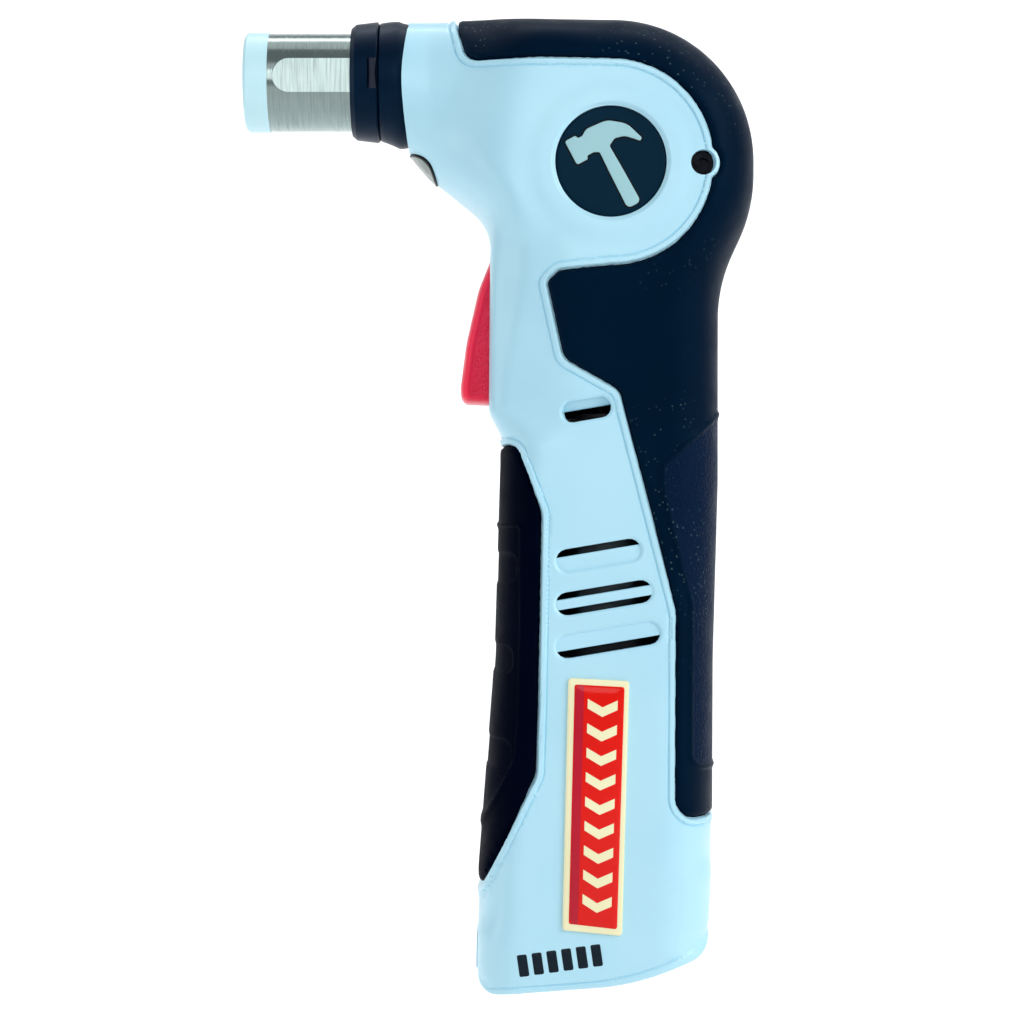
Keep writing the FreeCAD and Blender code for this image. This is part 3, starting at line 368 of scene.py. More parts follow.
# ---- the side's field of points
def side_field():
    """Triangulates the side view along all its lines: points and triangles."""
    edge_rings = [0.02, 0.1, 0.25, 0.5, 0.9, 1.4, 2.1, 3.0, 4.1, 5.4, 6.9, 8.6, 10.6, 12.8]
    border_rings = [0.12, 0.28, 0.45, 0.7, 1.15, 1.7, 1.88, 2.05, 2.22, 2.4, 3.2]
    inwards = 1 if turning(silhouette) > 0 else -1
    rows = []
    for amount in edge_rings:
        row = moved_line(edge_line, inwards * amount, closed=False)
        rows.append(row[distance(row, edge_line, closed=False) > amount * 0.97])
    rows += [ring_points(line, border_rings) for line in (rear_line, front_line, ring_line, lug_line)]
    rows += [ring_points(line, [0.2, 0.42, 0.64, 0.86, 1.3], False) for line in (panel_line, ridge_line)]
    rows += [ring_points(line, [0.18, 0.4]) for line in pad_lines]
    rows.append(ring_points(foot_line, [0.12, 0.28, 0.45, 0.8], False))
    rows.append(ring_points(emblem_line, [0.3, 0.6, 0.9, 1.15, 1.6]))
    rows += [circle(WHEEL_X, WHEEL_Z, r, 1.4) for r in np.arange(16.5, 23.0)]
    rows.append(ring_points(screw_line, [0.3, 0.8]))
    rows += [ring_points(line, [0.25, 0.5, 0.75, 1.2]) for line in vent_lines]
    free = np.vstack(rows)
    lines = [(line, True) for line in (silhouette, rear_line, front_line, ring_line, lug_line, emblem_line,
                                       screw_line, *vent_lines)] + [(foot_line, False)]
    gap = np.min([distance(free, line, closed) for line, closed in lines], axis=0)
    free = free[(gap > 0.015) & inside(free, silhouette)]
    free = thinned(free, 0.09)
    grid = staggered(42.0, -239.0, 133.0, 16.0, 1.7, 1.5)
    grid = grid[inside(grid, silhouette)]
    gaps = [distance(grid, edge_line, closed=False) - 2.0]
    gaps += [distance(grid, line) - 1.6 for line, closed in lines[1:] if closed]
    grid = grid[np.min(gaps, axis=0) > 0]
    grid = grid[nearest_gap(grid, free) > 0.7]

    points, edges = [], []
    for line, closed in lines:
        base = len(points)
        points += list(line)
        count = len(line) if closed else len(line) - 1
        edges += [(base + i, base + (i + 1) % len(line)) for i in range(count)]
    points += list(free) + list(grid)
    return triangulated(points, edges, silhouette, 1e-4)


def triangulated(points, edges, line, merge_gap):
    """Points, and the triangles between them and inside a line, all turned the same way."""
    found = geometry.delaunay_2d_cdt([Vector(p) for p in points], edges, [], 0, merge_gap)
    made, faces = np.array([tuple(v) for v in found[0]]), np.array(found[2])
    faces = faces[inside(made[faces].mean(axis=1), line)]
    a, b, c = (made[faces[:, k]] for k in range(3))
    turn = (b[:, 0] - a[:, 0]) * (c[:, 1] - a[:, 1]) - (b[:, 1] - a[:, 1]) * (c[:, 0] - a[:, 0])
    faces[turn < 0] = faces[turn < 0][:, ::-1]
    return made, faces


def staggered(left, low, right, high, step_x, step_z):
    """A grid of points with every second row moved half a step."""
    xs, zs = np.meshgrid(np.arange(left, right, step_x), np.arange(low, high, step_z))
    xs[::2] += step_x / 2
    return np.column_stack((xs.ravel(), zs.ravel()))


def thinned(points, gap):
    """Leaves out points that share a small square with another."""
    keys = np.round(points / gap).astype(int)
    _, first = np.unique(keys, axis=0, return_index=True)
    return points[np.sort(first)]


def nearest_gap(points, others):
    """Distance from each point to the nearest of the others, up to the size of a cell."""
    cell = 2.0
    table = {}
    for p in others:
        table.setdefault((int(p[0] // cell), int(p[1] // cell)), []).append(p)
    gaps = np.full(len(points), cell)
    for i, p in enumerate(points):
        cx, cz = int(p[0] // cell), int(p[1] // cell)
        around = [q for dx in (-1, 0, 1) for dz in (-1, 0, 1) for q in table.get((cx + dx, cz + dz), ())]
        if around:
            gaps[i] = min(cell, np.sqrt(((np.array(around) - p) ** 2).sum(1).min()))
    return gaps


xy, tris = side_field()
wide = half_width(xy)
middles = xy[tris].mean(axis=1)
in_hole = (from_wheel(middles) < EMBLEM_R + 0.14) | inside(middles, screw_line)
for vent_line in vent_lines:
    in_hole |= inside(middles, vent_line)
foot_area = np.vstack((foot_line, [(150.0, -216.1), (150.0, -260.0), (50.0, -260.0)]))
tests = [in_hole, inside(middles, foot_area), rear_depth(middles) > 0, depth(middles, front_line) > 0]
regions = np.select(tests, ["", "foot", "rear_grip", "front_grip"], "housing")      # of each triangle

# The strip that joins both sides round the tool's edge.
on_edge = distance(xy, edge_line, closed=False) < 0.004
WINDOW_HALF, WINDOW_LOW, WINDOW_HIGH = 9.15, -86.5, -44.8
LATCH_HALF = 7.0
FRONT_LATCH, REAR_LATCH = (-230.4, -221.1), (-216.0, -205.7)      # heights of the notches
FRONT_BELOW, REAR_ABOVE = 68, 110       # x of the front edge and of the back edge
SEAM_DEPTH, SEAM_HALF = 0.22, 0.35      # the parting line between the two halves
STRIP_ROWS = 5
LONGEST_EDGE = 4.0      # a longer edge between outline points isn't part of the outline


def strip_end(x, z):
    """Where the strip stops short of the middle, for the trigger's window and the latch notches."""
    if x < FRONT_BELOW and WINDOW_LOW < z < WINDOW_HIGH:
        return WINDOW_HALF
    low, high = FRONT_LATCH if x < FRONT_BELOW else REAR_LATCH
    return LATCH_HALF if not FRONT_BELOW <= x <= REAR_ABOVE and low < z < high else 0.0


def boundary_edges(faces):
    """Edges used by one face only, in the face's direction."""
    edges = [pair for face in faces for pair in zip(face, face[1:] + face[:1])]
    count = Counter(tuple(sorted(pair)) for pair in edges)
    return [pair for pair in edges if count[tuple(sorted(pair))] == 1]


def whole_side():
    """All surface points of one side with the strip, as x, y, z, with faces and the region of each face."""
    points = [tuple(p) for p in np.column_stack((xy[:, 0], wide, xy[:, 1]))]
    faces, region, owner, columns = [], [], {}, {}
    for face, word in zip(map(tuple, tris), regions):
        if word:
            faces.append(face)
            region.append(word)
            owner.update({pair: word for pair in zip(face, face[1:] + face[:1])})

    def column(i, end):
        if (i, end) not in columns:
            top = wide[i]
            columns[i, end] = [i] + [len(points) + k for k in range(STRIP_ROWS)]
            for k in range(1, STRIP_ROWS + 1):
                points.append((xy[i, 0], top + (end - top) * k / STRIP_ROWS, xy[i, 1]))
        return columns[i, end]

    for a, b in boundary_edges(faces):
        end = strip_end(*(xy[a] + xy[b]) / 2)
        too_far = np.hypot(*(xy[a] - xy[b])) > LONGEST_EDGE
        if not (on_edge[a] and on_edge[b]) or too_far or max(wide[a], wide[b]) <= end + 0.05:
            continue
        ca, cb = column(a, end), column(b, end)
        faces += [(cb[k], ca[k], ca[k + 1], cb[k + 1]) for k in range(STRIP_ROWS)]
        region += [owner[a, b]] * STRIP_ROWS
    return np.array(points), faces, region


def vertex_normals(points, faces):
    """Each point's normal, from the triangles and quads round it."""
    total = np.zeros_like(points)
    for size in (3, 4):
        group = np.array([f for f in faces if len(f) == size])
        if not len(group):
            continue
        first = points[group[:, 0]]
        cross = np.zeros((len(group), 3))
        for k in range(1, size - 1):
            cross += np.cross(points[group[:, k]] - first, points[group[:, k + 1]] - first)
        for k in range(size):
            np.add.at(total, group[:, k], cross)
    return total / np.maximum(np.linalg.norm(total, axis=1), 1e-12)[:, None]


field_points, field_faces, field_region = whole_side()
field_normals = vertex_normals(field_points, field_faces)
if field_normals[np.argmax(field_points[:, 1])][1] < 0:
    field_normals = -field_normals
    field_faces = [f[::-1] for f in field_faces]
centre_line = np.abs(field_points[:, 1]) < 1e-6
field_normals[centre_line, 1] = 0
field_rise = relief(field_points[:, [0, 2]])
in_battery = inside(field_points[:, [0, 2]], foot_area)
field_rise -= np.where(in_battery, 0, SEAM_DEPTH * near(0.02, SEAM_HALF, np.abs(field_points[:, 1])))
field_surface = field_points + field_normals * field_rise[:, None]


# ---- meshes
def linked(name, data):
    """A new object in the scene."""
    item = bpy.data.objects.new(name, data)
    bpy.context.scene.collection.objects.link(item)
    return item


def mesh_object(name, points, faces, look, flat_angle=35):
    """A mesh object from millimetre points. Edges sharper than flat_angle degrees stay sharp."""
    mesh = bpy.data.meshes.new(name)
    corners = [tuple(int(i) for i in f) for f in faces]
    mesh.from_pydata([tuple(float(c) * MM for c in p) for p in points], [], corners)
    mesh.validate()
    for polygon in mesh.polygons:
        polygon.use_smooth = True
    if flat_angle < 180:
        mesh.set_sharp_from_angle(angle=math.radians(flat_angle))
    mesh.materials.append(look.material)
    return linked(name, mesh)


def clear_of_sleeve(points):
    """Inner points in the nose, kept outside the space the guide sleeve slides in."""
    r = np.maximum(np.hypot(points[:, 1], points[:, 2]), 0.1)
    grow = np.where((points[:, 0] < SLEEVE_REACH) & (r < SLEEVE_ROOM), SLEEVE_ROOM / r, 1.0)
    return points * np.column_stack((np.ones(len(points)), grow, grow))


def region_piece(name, word, side, look, thick, inner_skin=False):
    """One region of the side as a piece with its edges turned inwards. side is -1 for the left."""
    chosen = [f for f, w in zip(field_faces, field_region) if w == word]
    used = sorted({i for f in chosen for i in f})
    index = {old: new for new, old in enumerate(used)}
    points, normals = field_surface[used], field_normals[used]
    faces = [tuple(index[i] for i in f) for f in chosen]
    rim = boundary_edges(faces)
    turned_in = range(len(points)) if inner_skin else list(dict.fromkeys(i for edge in rim for i in edge))
    inner = {i: len(points) + k for k, i in enumerate(turned_in)}
    extra = np.array([points[i] - normals[i] * thick for i in turned_in])
    if inner_skin:
        faces += [tuple(inner[i] for i in reversed(f)) for f in faces]
    faces += [(b, a, inner[a], inner[b]) for a, b in rim]
    if side < 0:
        faces = [f[::-1] for f in faces]
    return mesh_object(name, np.vstack((points, clear_of_sleeve(extra))) * (1, side, 1), faces, look)


def filled(line, rings, spacing):
    """Triangulates a closed line with rings inside it: points, the line's own first, and triangles."""
    rows = []
    for amount in rings:
        row = inset(line, amount)
        rows.append(row[distance(row, line) > amount * 0.95])
    grid = staggered(*line.min(axis=0), *line.max(axis=0), spacing, spacing)
    rows.append(grid[depth(grid, line) > max(rings, default=0) + spacing * 0.6])
    free = np.vstack(rows)
    free = free[depth(free, line) > 0.02]
    points = np.vstack((line, thinned(free, 0.06)))
    edges = [(k, (k + 1) % len(line)) for k in range(len(line))]
    made, faces = triangulated(points, edges, line, 1e-5)
    return made, [tuple(f) for f in faces]


def plate(name, line, front, back, look, side=-1, rings=(), spacing=2.0, flat_angle=35):
    """A solid with an outline. front and back are its faces' Y, or give it from points and depths."""
    points, faces = filled(line, rings, spacing)
    deep = np.maximum(depth(points, line), 0)
    deep[distance(points, line) < 0.004] = 0
    layers = []
    for reach in (front, back):
        y = reach(points, deep) if callable(reach) else np.full(len(points), reach)
        layers.append(np.column_stack((points[:, 0], y, points[:, 1])))
    base = len(points)
    shapes = faces + [(b, a, a + base, b + base) for a, b in boundary_edges(faces)]
    shapes += [tuple(k + base for k in reversed(f)) for f in faces]
    if side > 0:
        shapes = [f[::-1] for f in shapes]
    return facing_out(mesh_object(name, np.vstack(layers) * (1, side, 1), shapes, look, flat_angle))


def joined(name, pieces):
    """Several mesh objects of one material as one."""
    made = bmesh.new()
    for piece in pieces:
        made.from_mesh(piece.data)
    mesh = bpy.data.meshes.new(name)
    made.to_mesh(mesh)
    made.free()
    mesh.materials.append(pieces[0].data.materials[0])
    for piece in pieces:
        bpy.data.objects.remove(piece)
    return linked(name, mesh)


def grid_faces(rows, around, closed=False):
    """Quads between neighbouring rings of a grid of points. closed joins the last ring to the first."""
    faces = []
    for i in range(rows if closed else rows - 1):
        j = (i + 1) % rows
        for k in range(around):
            n = (k + 1) % around
            faces.append((i * around + k, i * around + n, j * around + n, j * around + k))
    return faces


def tube(name, path, radius, look, around):
    """A round wire along a path of points, with closed ends."""
    path = np.array(path, float)
    run = np.gradient(path, axis=0)
    run /= np.linalg.norm(run, axis=1)[:, None]
    side = np.cross(run[0], (0.3, 0.5, 0.8))        # any direction across the wire's start
    points = []
    for p, t in zip(path, run):
        side = side - t * (side @ t)
        side /= np.linalg.norm(side)
        other = np.cross(t, side)
        for k in range(around):
            a = 2 * math.pi * k / around
            points.append(p + radius * (side * math.cos(a) + other * math.sin(a)))
    last = (len(path) - 1) * around
    ends = [tuple(reversed(range(around))), tuple(last + k for k in range(around))]
    return mesh_object(name, points, grid_faces(len(path), around) + ends, look, 60)


STEPS_A_TURN = 26       # of a coil's path


def coil(name, mean_r, wire_r, start, end, turns, look):
    """A coil spring from start to end."""
    start, end = np.array(start, float), np.array(end, float)
    length = np.linalg.norm(end - start)
    along = (end - start) / length
    first = np.cross(along, (0.0, 0.0, 1.0) if abs(along[2]) < 0.5 else (1.0, 0.0, 0.0))
    first /= np.linalg.norm(first)
    second = np.cross(along, first)
    t = np.linspace(0, 1, int(turns * STEPS_A_TURN) + 1)[:, None]
    a = 2 * math.pi * turns * t
    path = start + along * (wire_r + (length - 2 * wire_r) * t)
    path += (first * np.cos(a) + second * np.sin(a)) * mean_r
    return tube(name, path, wire_r, look, 10)


def facing_out(item):
    """Turns the faces of closed meshes outwards."""
    made = bmesh.new()
    made.from_mesh(item.data)
    bmesh.ops.recalc_face_normals(made, faces=made.faces)
    made.to_mesh(item.data)
    made.free()
    return item


# ---- materials
def linear(rgb):
    """An sRGB colour, 0 to 255, as the linear colour a shader takes."""
    made = [c / 255 / 12.92 if c / 255 <= 0.04045 else ((c / 255 + 0.055) / 1.055) ** 2.4 for c in rgb]
    return (*made, 1.0)


class Shader:
    """A Principled material put together from nodes."""

    def __init__(self, name, colour, roughness, metallic=0.0, coat=0.0):
        self.material = bpy.data.materials.new(name)
        self.material.use_nodes = True
        self.tree = self.material.node_tree
        self.body = self.tree.nodes["Principled BSDF"]
        for key, value in (("Base Color", colour), ("Roughness", roughness), ("Metallic", metallic),
                           ("Coat Weight", coat)):
            self.body.inputs[key].default_value = value
        self.place = self.node("TexCoord").outputs["Object"]
        self.tone, self.height = colour, None

    def put(self, socket, value):
        """Sets a socket, or links another node's output to it."""
        if isinstance(value, bpy.types.NodeSocket):
            self.tree.links.new(value, socket)
        else:
            socket.default_value = value

    def node(self, kind, inputs=(), **settings):
        """A new node with its settings, and its inputs by name or number."""
        made = self.tree.nodes.new("ShaderNode" + kind)
        for key, value in settings.items():
            setattr(made, key, value)
        for key, value in dict(inputs).items():
            self.put(made.inputs[key], value)
        return made

    def noise(self, scale, detail=3.0, stretch=None):
        """Noise with so many cells to the metre."""
        place = self.place
        if stretch:
            place = self.node("Mapping", {"Scale": stretch, "Vector": place}).outputs["Vector"]
        return self.node("TexNoise", {"Scale": scale, "Detail": detail, "Vector": place}).outputs["Fac"]

    def cells(self, scale):
        """Distance to the nearest of scattered points, so many to the metre."""
        return self.node("TexVoronoi", {"Scale": scale, "Vector": self.place}).outputs["Distance"]

    def attribute(self, name):
        """A value stored on the mesh's points."""
        return self.node("Attribute", attribute_name=name).outputs["Fac"]

    def spread(self, value, low, high, out_low, out_high):
        """A value moved from one range to another, and held inside it."""
        return self.node("MapRange", {"Value": value, "From Min": low, "From Max": high, "To Min": out_low,
                                      "To Max": out_high}).outputs["Result"]

    def product(self, a, b):
        return self.node("Math", {0: a, 1: b}, operation="MULTIPLY").outputs[0]

    def colour(self, value, other):
        """Mixes the colour so far with another, by a value from 0 to 1."""
        self.tone = self.node("Mix", {0: value, 6: self.tone, 7: linear(other)}, data_type="RGBA").outputs[2]
        self.put(self.body.inputs["Base Color"], self.tone)

    def bump(self, value, strength, distance_mm):
        """Adds relief over the relief so far."""
        inputs = {"Strength": strength, "Distance": distance_mm * MM, "Height": value}
        if self.height is not None:
            inputs["Normal"] = self.height
        self.height = self.node("Bump", inputs).outputs["Normal"]
        self.put(self.body.inputs["Normal"], self.height)


def plastic(name, colour, shade, roughness, grain=2600.0, coat=0.0, depth_mm=0.02, gloss=0.5,
            tint=(1, 1, 1)):
    """Moulded plastic: slight mottling, uneven gloss, and a fine spark-eroded grain."""
    made = Shader(name, linear(colour), roughness, coat=coat)
    made.body.inputs["Specular IOR Level"].default_value = gloss
    made.body.inputs["Specular Tint"].default_value = (*tint, 1)
    made.colour(made.spread(made.noise(38.0, 4.0), 0.35, 0.75, 0.0, 0.55), shade)
    gloss_map = made.spread(made.noise(160.0, 5.0), 0.3, 0.7, roughness - 0.05, roughness + 0.07)
    made.put(made.body.inputs["Roughness"], gloss_map)
    made.bump(made.noise(grain, 2.0), 0.35, depth_mm)
    return made


def metal(name, colour, dark, roughness, stretch, scale=900.0, depth_mm=0.01):
    """Machined metal: fine tool lines along one direction, and cloudy stains."""
    made = Shader(name, linear(colour), roughness, metallic=1.0)
    lines = made.noise(scale, 4.0, stretch)
    made.colour(made.spread(lines, 0.35, 0.75, 0.0, 0.6), dark)
    made.colour(made.spread(made.noise(90.0, 5.0), 0.55, 0.8, 0.0, 0.5), dark)
    gloss_map = made.spread(lines, 0.3, 0.7, roughness - 0.08, roughness + 0.12)
    made.put(made.body.inputs["Roughness"], gloss_map)
    made.bump(lines, 0.4, depth_mm)
    return made


ALONG_X, ALONG_Y, ALONG_Z = (1.0, 0.04, 0.04), (0.04, 1.0, 0.04), (0.04, 0.04, 1.0)
pale = plastic("pale_plastic", (184, 232, 249), (172, 222, 243), 0.38, coat=0.12)
tip_plastic = plastic("tip_plastic", (206, 246, 254), (194, 236, 250), 0.34)
BLUE = (0.25, 0.6, 1.0)
rubber = plastic("grip_rubber", (0, 21, 42), (0, 14, 34), 0.46, 1800.0, 0.0, 0.05, 0.06, BLUE)
grain = rubber.cells(1050.0)
rubber.bump(rubber.product(rubber.spread(grain, 0.0, 0.5, 1.0, 0.0), rubber.attribute("panel")), 0.9, 0.26)
rubber.colour(rubber.product(rubber.attribute("panel"), 0.75), (9, 27, 54))
specks = rubber.spread(rubber.cells(640.0), 0.13, 0.2, 1.0, 0.0)
dusty = rubber.spread(rubber.noise(26.0, 2.0), 0.52, 0.66, 0.0, 0.55)
rubber.colour(rubber.product(specks, dusty), (72, 98, 104))
front_rubber = plastic("front_rubber", (1, 4, 22), (0, 2, 14), 0.55, 1800.0, 0.0, 0.05, 0.02, BLUE)
collar_plastic = plastic("collar_plastic", (0, 20, 42), (0, 8, 32), 0.4, 1500.0, 0.0, 0.02, 0.2, BLUE)
red_plastic = plastic("trigger_plastic", (255, 30, 78), (250, 20, 60), 0.34, 1500.0, gloss=0.35)
pebbles = red_plastic.cells(1900.0)
side_grain = red_plastic.attribute("grain")
red_plastic.bump(red_plastic.product(red_plastic.spread(pebbles, 0.0, 0.5, 1.0, 0.0), side_grain), 0.9, 0.2)
black_plastic = plastic("black_plastic", (14, 18, 26), (8, 11, 17), 0.45, gloss=0.3)
emblem_plastic = plastic("emblem_plastic", (2, 30, 47), (0, 23, 38), 0.46, 1300.0, 0.0, 0.1, 0.2, BLUE)
glyph_paint = plastic("glyph_paint", (160, 206, 214), (150, 196, 206), 0.42)
outline_paint = plastic("outline_paint", (2, 6, 12), (1, 3, 8), 0.4, gloss=0.15)
cream_film = plastic("cream_film", (250, 244, 202), (240, 232, 184), 0.16, depth_mm=0.006, gloss=0.3)
red_film = plastic("red_film", (232, 18, 4), (218, 10, 3), 0.12, depth_mm=0.004, gloss=0.3)
crimson_film = plastic("crimson_film", (196, 22, 48), (176, 16, 40), 0.12, depth_mm=0.004, gloss=0.3)
dark_film = plastic("dark_film", (4, 26, 40), (2, 15, 28), 0.35, gloss=0.2)
label_film = plastic("label_film", (196, 202, 208), (180, 186, 194), 0.35)
sleeve_steel = metal("sleeve_steel", (158, 174, 172), (126, 142, 140), 0.16, ALONG_X, 2600.0)
steel = metal("machined_steel", (170, 174, 178), (110, 114, 120), 0.3, ALONG_X)
spring_steel = metal("spring_steel", (150, 152, 156), (90, 92, 96), 0.3, ALONG_Z)
dark_steel = metal("dark_steel", (92, 95, 100), (52, 54, 60), 0.38, ALONG_Y)
screw_steel = metal("screw_steel", (22, 24, 28), (8, 9, 12), 0.16, (1, 1, 1), 700.0)
clip_plastic = plastic("clip_plastic", (0, 20, 42), (0, 8, 32), 0.3, 900.0, gloss=0.2)
# The motor can is darker than bare steel: painted shade, so the inside of the vents looks dark.
can_steel_painted_shade = metal("can_steel_painted_shade", (70, 76, 80), (40, 46, 50), 0.32, ALONG_Z)
cast_metal = metal("cast_metal", (168, 171, 176), (134, 138, 144), 0.5, (1, 1, 1), 700.0, 0.05)
bronze = metal("bronze", (176, 142, 92), (128, 98, 60), 0.35, ALONG_X)
copper = metal("copper_wire", (190, 112, 62), (140, 74, 38), 0.35, ALONG_Z, 2000.0)
brass = metal("contact_brass", (214, 186, 110), (170, 140, 74), 0.28, ALONG_Z)
magnet = metal("magnet", (70, 70, 74), (46, 46, 50), 0.55, (1, 1, 1), 1200.0, 0.03)
board = plastic("circuit_board", (34, 98, 62), (24, 78, 48), 0.4)
cell_wrap = plastic("cell_wrap", (60, 130, 90), (48, 112, 76), 0.25)
lens_glass = Shader("lens_glass", linear((150, 168, 160)), 0.32, coat=0.5)
lens_glass.body.inputs["Transmission Weight"].default_value = 0.35
lens_glass.colour(lens_glass.spread(lens_glass.noise(420.0, 3.0), 0.35, 0.7, 0.0, 0.8), (108, 126, 118))
lens_glass.bump(lens_glass.cells(900.0), 0.4, 0.12)


# ---- placing pieces
def place(piece, body, slot, *nodes):
    """Makes a piece ride on a body, in place of CAD nodes. The slot argument is not used."""
    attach(piece, body)
    if nodes:
        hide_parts(*nodes)


def attribute(piece, name, value_at):
    """Stores a value on a piece's points, from their places in the side view."""
    spots = np.array([(v.co.x / MM, v.co.z / MM) for v in piece.data.vertices])
    layer = piece.data.attributes.new(name, "FLOAT", "POINT")
    layer.data.foreach_set("value", [float(v) for v in value_at(spots)])


# ---- clamshell, grips and foot
SIDES = ((-1, "left"), (1, "right"))
GRIP_SKIN, FOOT_WALL = 1.6, 3.0
PLUG = [(68.2, -222.2, 0.6), (113.8, -222.2, 0.6), (112.6, -224.0, 1), (98.0, -229.6, 3), (68.2, -231.2, 1)]
PLUG_END_HALF, PLUG_END_R, PLUG_LOW_R, PLUG_LOW = 12.6, 7.0, 1.2, -223.5
panel_area = np.vstack((panel_line, [(150.0, -177.6), (150.0, -84.3)]))


def build_sides():
    for side, word in SIDES:
        shell = region_piece(word + "_shell", "housing", side, pale, SHELL, inner_skin=True)
        place(shell, "housing", "pale_shell", word + "_housing")
        rear = region_piece(word + "_rear_grip_skin", "rear_grip", side, rubber, GRIP_SKIN)
        place(rear, "housing", "dark_grip", word + "_rear_grip")
        attribute(rear, "panel", lambda spots: smooth(0.5, 0.9, depth(spots, panel_area)))
        front = region_piece(word + "_front_grip_skin", "front_grip", side, front_rubber, GRIP_SKIN)
        place(front, "housing", "dark_grip", word + "_front_grip")


def both_sides(name, word, look, thick):
    """A region of both sides as one piece."""
    left = region_piece(name, word, -1, look, thick)
    right = region_piece(name + "_other", word, 1, look, thick)
    made = bmesh.new()
    made.from_mesh(left.data)
    made.from_mesh(right.data)
    bmesh.ops.remove_doubles(made, verts=made.verts, dist=0.00002)
    made.to_mesh(left.data)
    made.free()
    bpy.data.objects.remove(right)
    return left


def build_foot():
    place(both_sides("battery_foot", "foot", pale, FOOT_WALL), "battery", "pale_shell", "battery_base")

    def face(points, deep):
        near_end = np.minimum(points[:, 0] - PLUG[0][0], PLUG[1][0] - points[:, 0])
        corner = np.clip(1 - near_end / PLUG_END_R, 0, 1)
        low = np.clip(1 - deep / PLUG_LOW_R, 0, 1) * (points[:, 1] < PLUG_LOW)
        end_round = PLUG_END_R * np.sqrt(1 - corner ** 2)
        return PLUG_END_HALF + end_round - PLUG_LOW_R * (1 - np.sqrt(1 - low ** 2))

    plug = plate("battery_plug", rounded(PLUG), face, lambda p, d: -face(p, d), black_plastic, -1,
                 (0.2, 0.6, 1.2), 2.5, 50)
    place(plug, "battery", "black_plastic", "battery_base")


# ---- vent bars
VENT_BARS = [       # low and high edge across the slot, depth under the surface, slope
    (0.3, 3.0, 2.4, 0.5), (-3.3, 1.1, 1.0, 0.0), (-1.25, 1.25, 0.7, 0.0), (-0.9, 3.3, 1.0, 0.0),
]
BAR_OVERLAP, BAR_BACK = 0.35, 3.6       # how far a bar goes into the slot's ends, and how deep


def bar_line(x, z, length, width, low, high):
    """The part of a slot between two heights across it, grown a little into the slot's ends."""
    reach, r = (length - width) / 2, width / 2
    across = np.linspace(low, high, 9)
    half = reach + np.sqrt(np.maximum(r ** 2 - across ** 2, 0)) + BAR_OVERLAP
    local = [(h, b) for h, b in zip(half, across)] + [(-h, b) for h, b in zip(half[::-1], across[::-1])]
    return turned(spaced(local, 0.8, True), VENT_TILT, x, z)


def build_vent_bars():
    for side, word in SIDES:
        bars = []
        for (x, z, length, width), (low, high, sunk, slope) in zip(VENTS, VENT_BARS):
            limit = width / 2 + 0.3

            def front(p, d):
                across = (p[:, 1] - z) * math.cos(VENT_TILT) - (p[:, 0] - x) * math.sin(VENT_TILT)
                return half_width(p) - sunk + slope * (across - 1.5) - 0.25 * (1 - crown(d, 0.3, 2.0))

            line = bar_line(x, z, length, width, max(low, -limit), min(high, limit))
            bars.append(plate("bar", line, front, lambda p, d: half_width(p) - BAR_BACK, pale, side,
                              (0.12, 0.3), 1.2))
        place(joined(word + "_vent_bars", bars), "housing", "pale_shell")


# ---- emblem
CLAW_HAMMER = [
    (-1.75, -11.6, 1.2), (1.75, -11.6, 1.2), (1.55, -2.0, 30), (1.35, 3.3, 0.7), (3.2, 4.3, 1.5),
    (5.6, 3.7, 3), (8.3, 0.9, 0.35), (8.9, 1.5, 0.35), (7.4, 6.0, 5), (3.6, 8.9, 4), (-1.6, 9.3, 2),
    (-3.2, 8.3, 0.8), (-4.3, 8.3, 0.4), (-4.6, 9.1, 0.4), (-7.4, 9.1, 0.6), (-7.4, 2.9, 0.6),
    (-4.6, 2.9, 0.4), (-4.3, 3.7, 0.4), (-2.6, 3.7, 0.8), (-1.35, 3.1, 0.7), (-1.55, -2.0, 30),
]
HAMMER_TURN, HAMMER_SCALE, HAMMER_BORDER = math.radians(28.0), 1.08, 0.42
EMBLEM_FACE, EMBLEM_BACK = 25.75, 23.6
MARK_BACK = EMBLEM_FACE - 0.5


def build_emblems():
    hammer = turned(rounded(CLAW_HAMMER, 0.5), HAMMER_TURN, WHEEL_X, WHEEL_Z, HAMMER_SCALE)
    border = inset(hammer, -HAMMER_BORDER)
    disc = circle(WHEEL_X, WHEEL_Z, EMBLEM_R)
    for side, word in SIDES:
        piece = plate(word + "_emblem_plate", disc,
                      lambda p, d: EMBLEM_FACE - 0.45 * (1 - crown(d, 0.9, 2.0)), EMBLEM_BACK,
                      emblem_plastic, side, (0.1, 0.3, 0.6, 0.9))
        place(piece, "housing", "emblem_dark", word + "_emblem_disc")
        piece = plate(word + "_hammer_border", border, lambda p, d: EMBLEM_FACE + 0.12 * crown(d, 0.15, 2.0),
                      MARK_BACK, outline_paint, side, (0.12,), 1.5)
        place(piece, "housing", "emblem_dark")
        piece = plate(word + "_hammer_mark", hammer,
                      lambda p, d: EMBLEM_FACE + 0.16 + 0.16 * crown(d, 0.3, 2.0), MARK_BACK,
                      glyph_paint, side, (0.1, 0.3), 1.5)
        place(piece, "housing", "emblem_grey", word + "_emblem_glyph")


# ---- badge, bars and label
BADGE = [(83.6, -154.3, 0.9), (99.0, -155.1, 0.9), (97.2, -219.5, 0.9), (82.1, -218.0, 0.9)]
INLAY = [(85.2, -155.9, 0.6), (97.8, -156.6, 0.6), (95.9, -217.7, 0.6), (83.7, -216.3, 0.6)]
BADGE_TOP, BADGE_BACK = HANDLE_HALF + 0.62, 22.2
# Shares of the inlay's width and height.
STRIPE = ((0.02, 0.003), (0.19, 0.003), (0.19, 0.997), (0.02, 0.997))
CHEVRON = ((0.27, -0.032), (0.57, 0.000), (0.87, -0.032), (0.87, 0.008), (0.57, 0.040), (0.27, 0.008))
CHEVRONS, FIRST_CHEVRON, CHEVRON_STEP = 9, 0.088, 0.1015
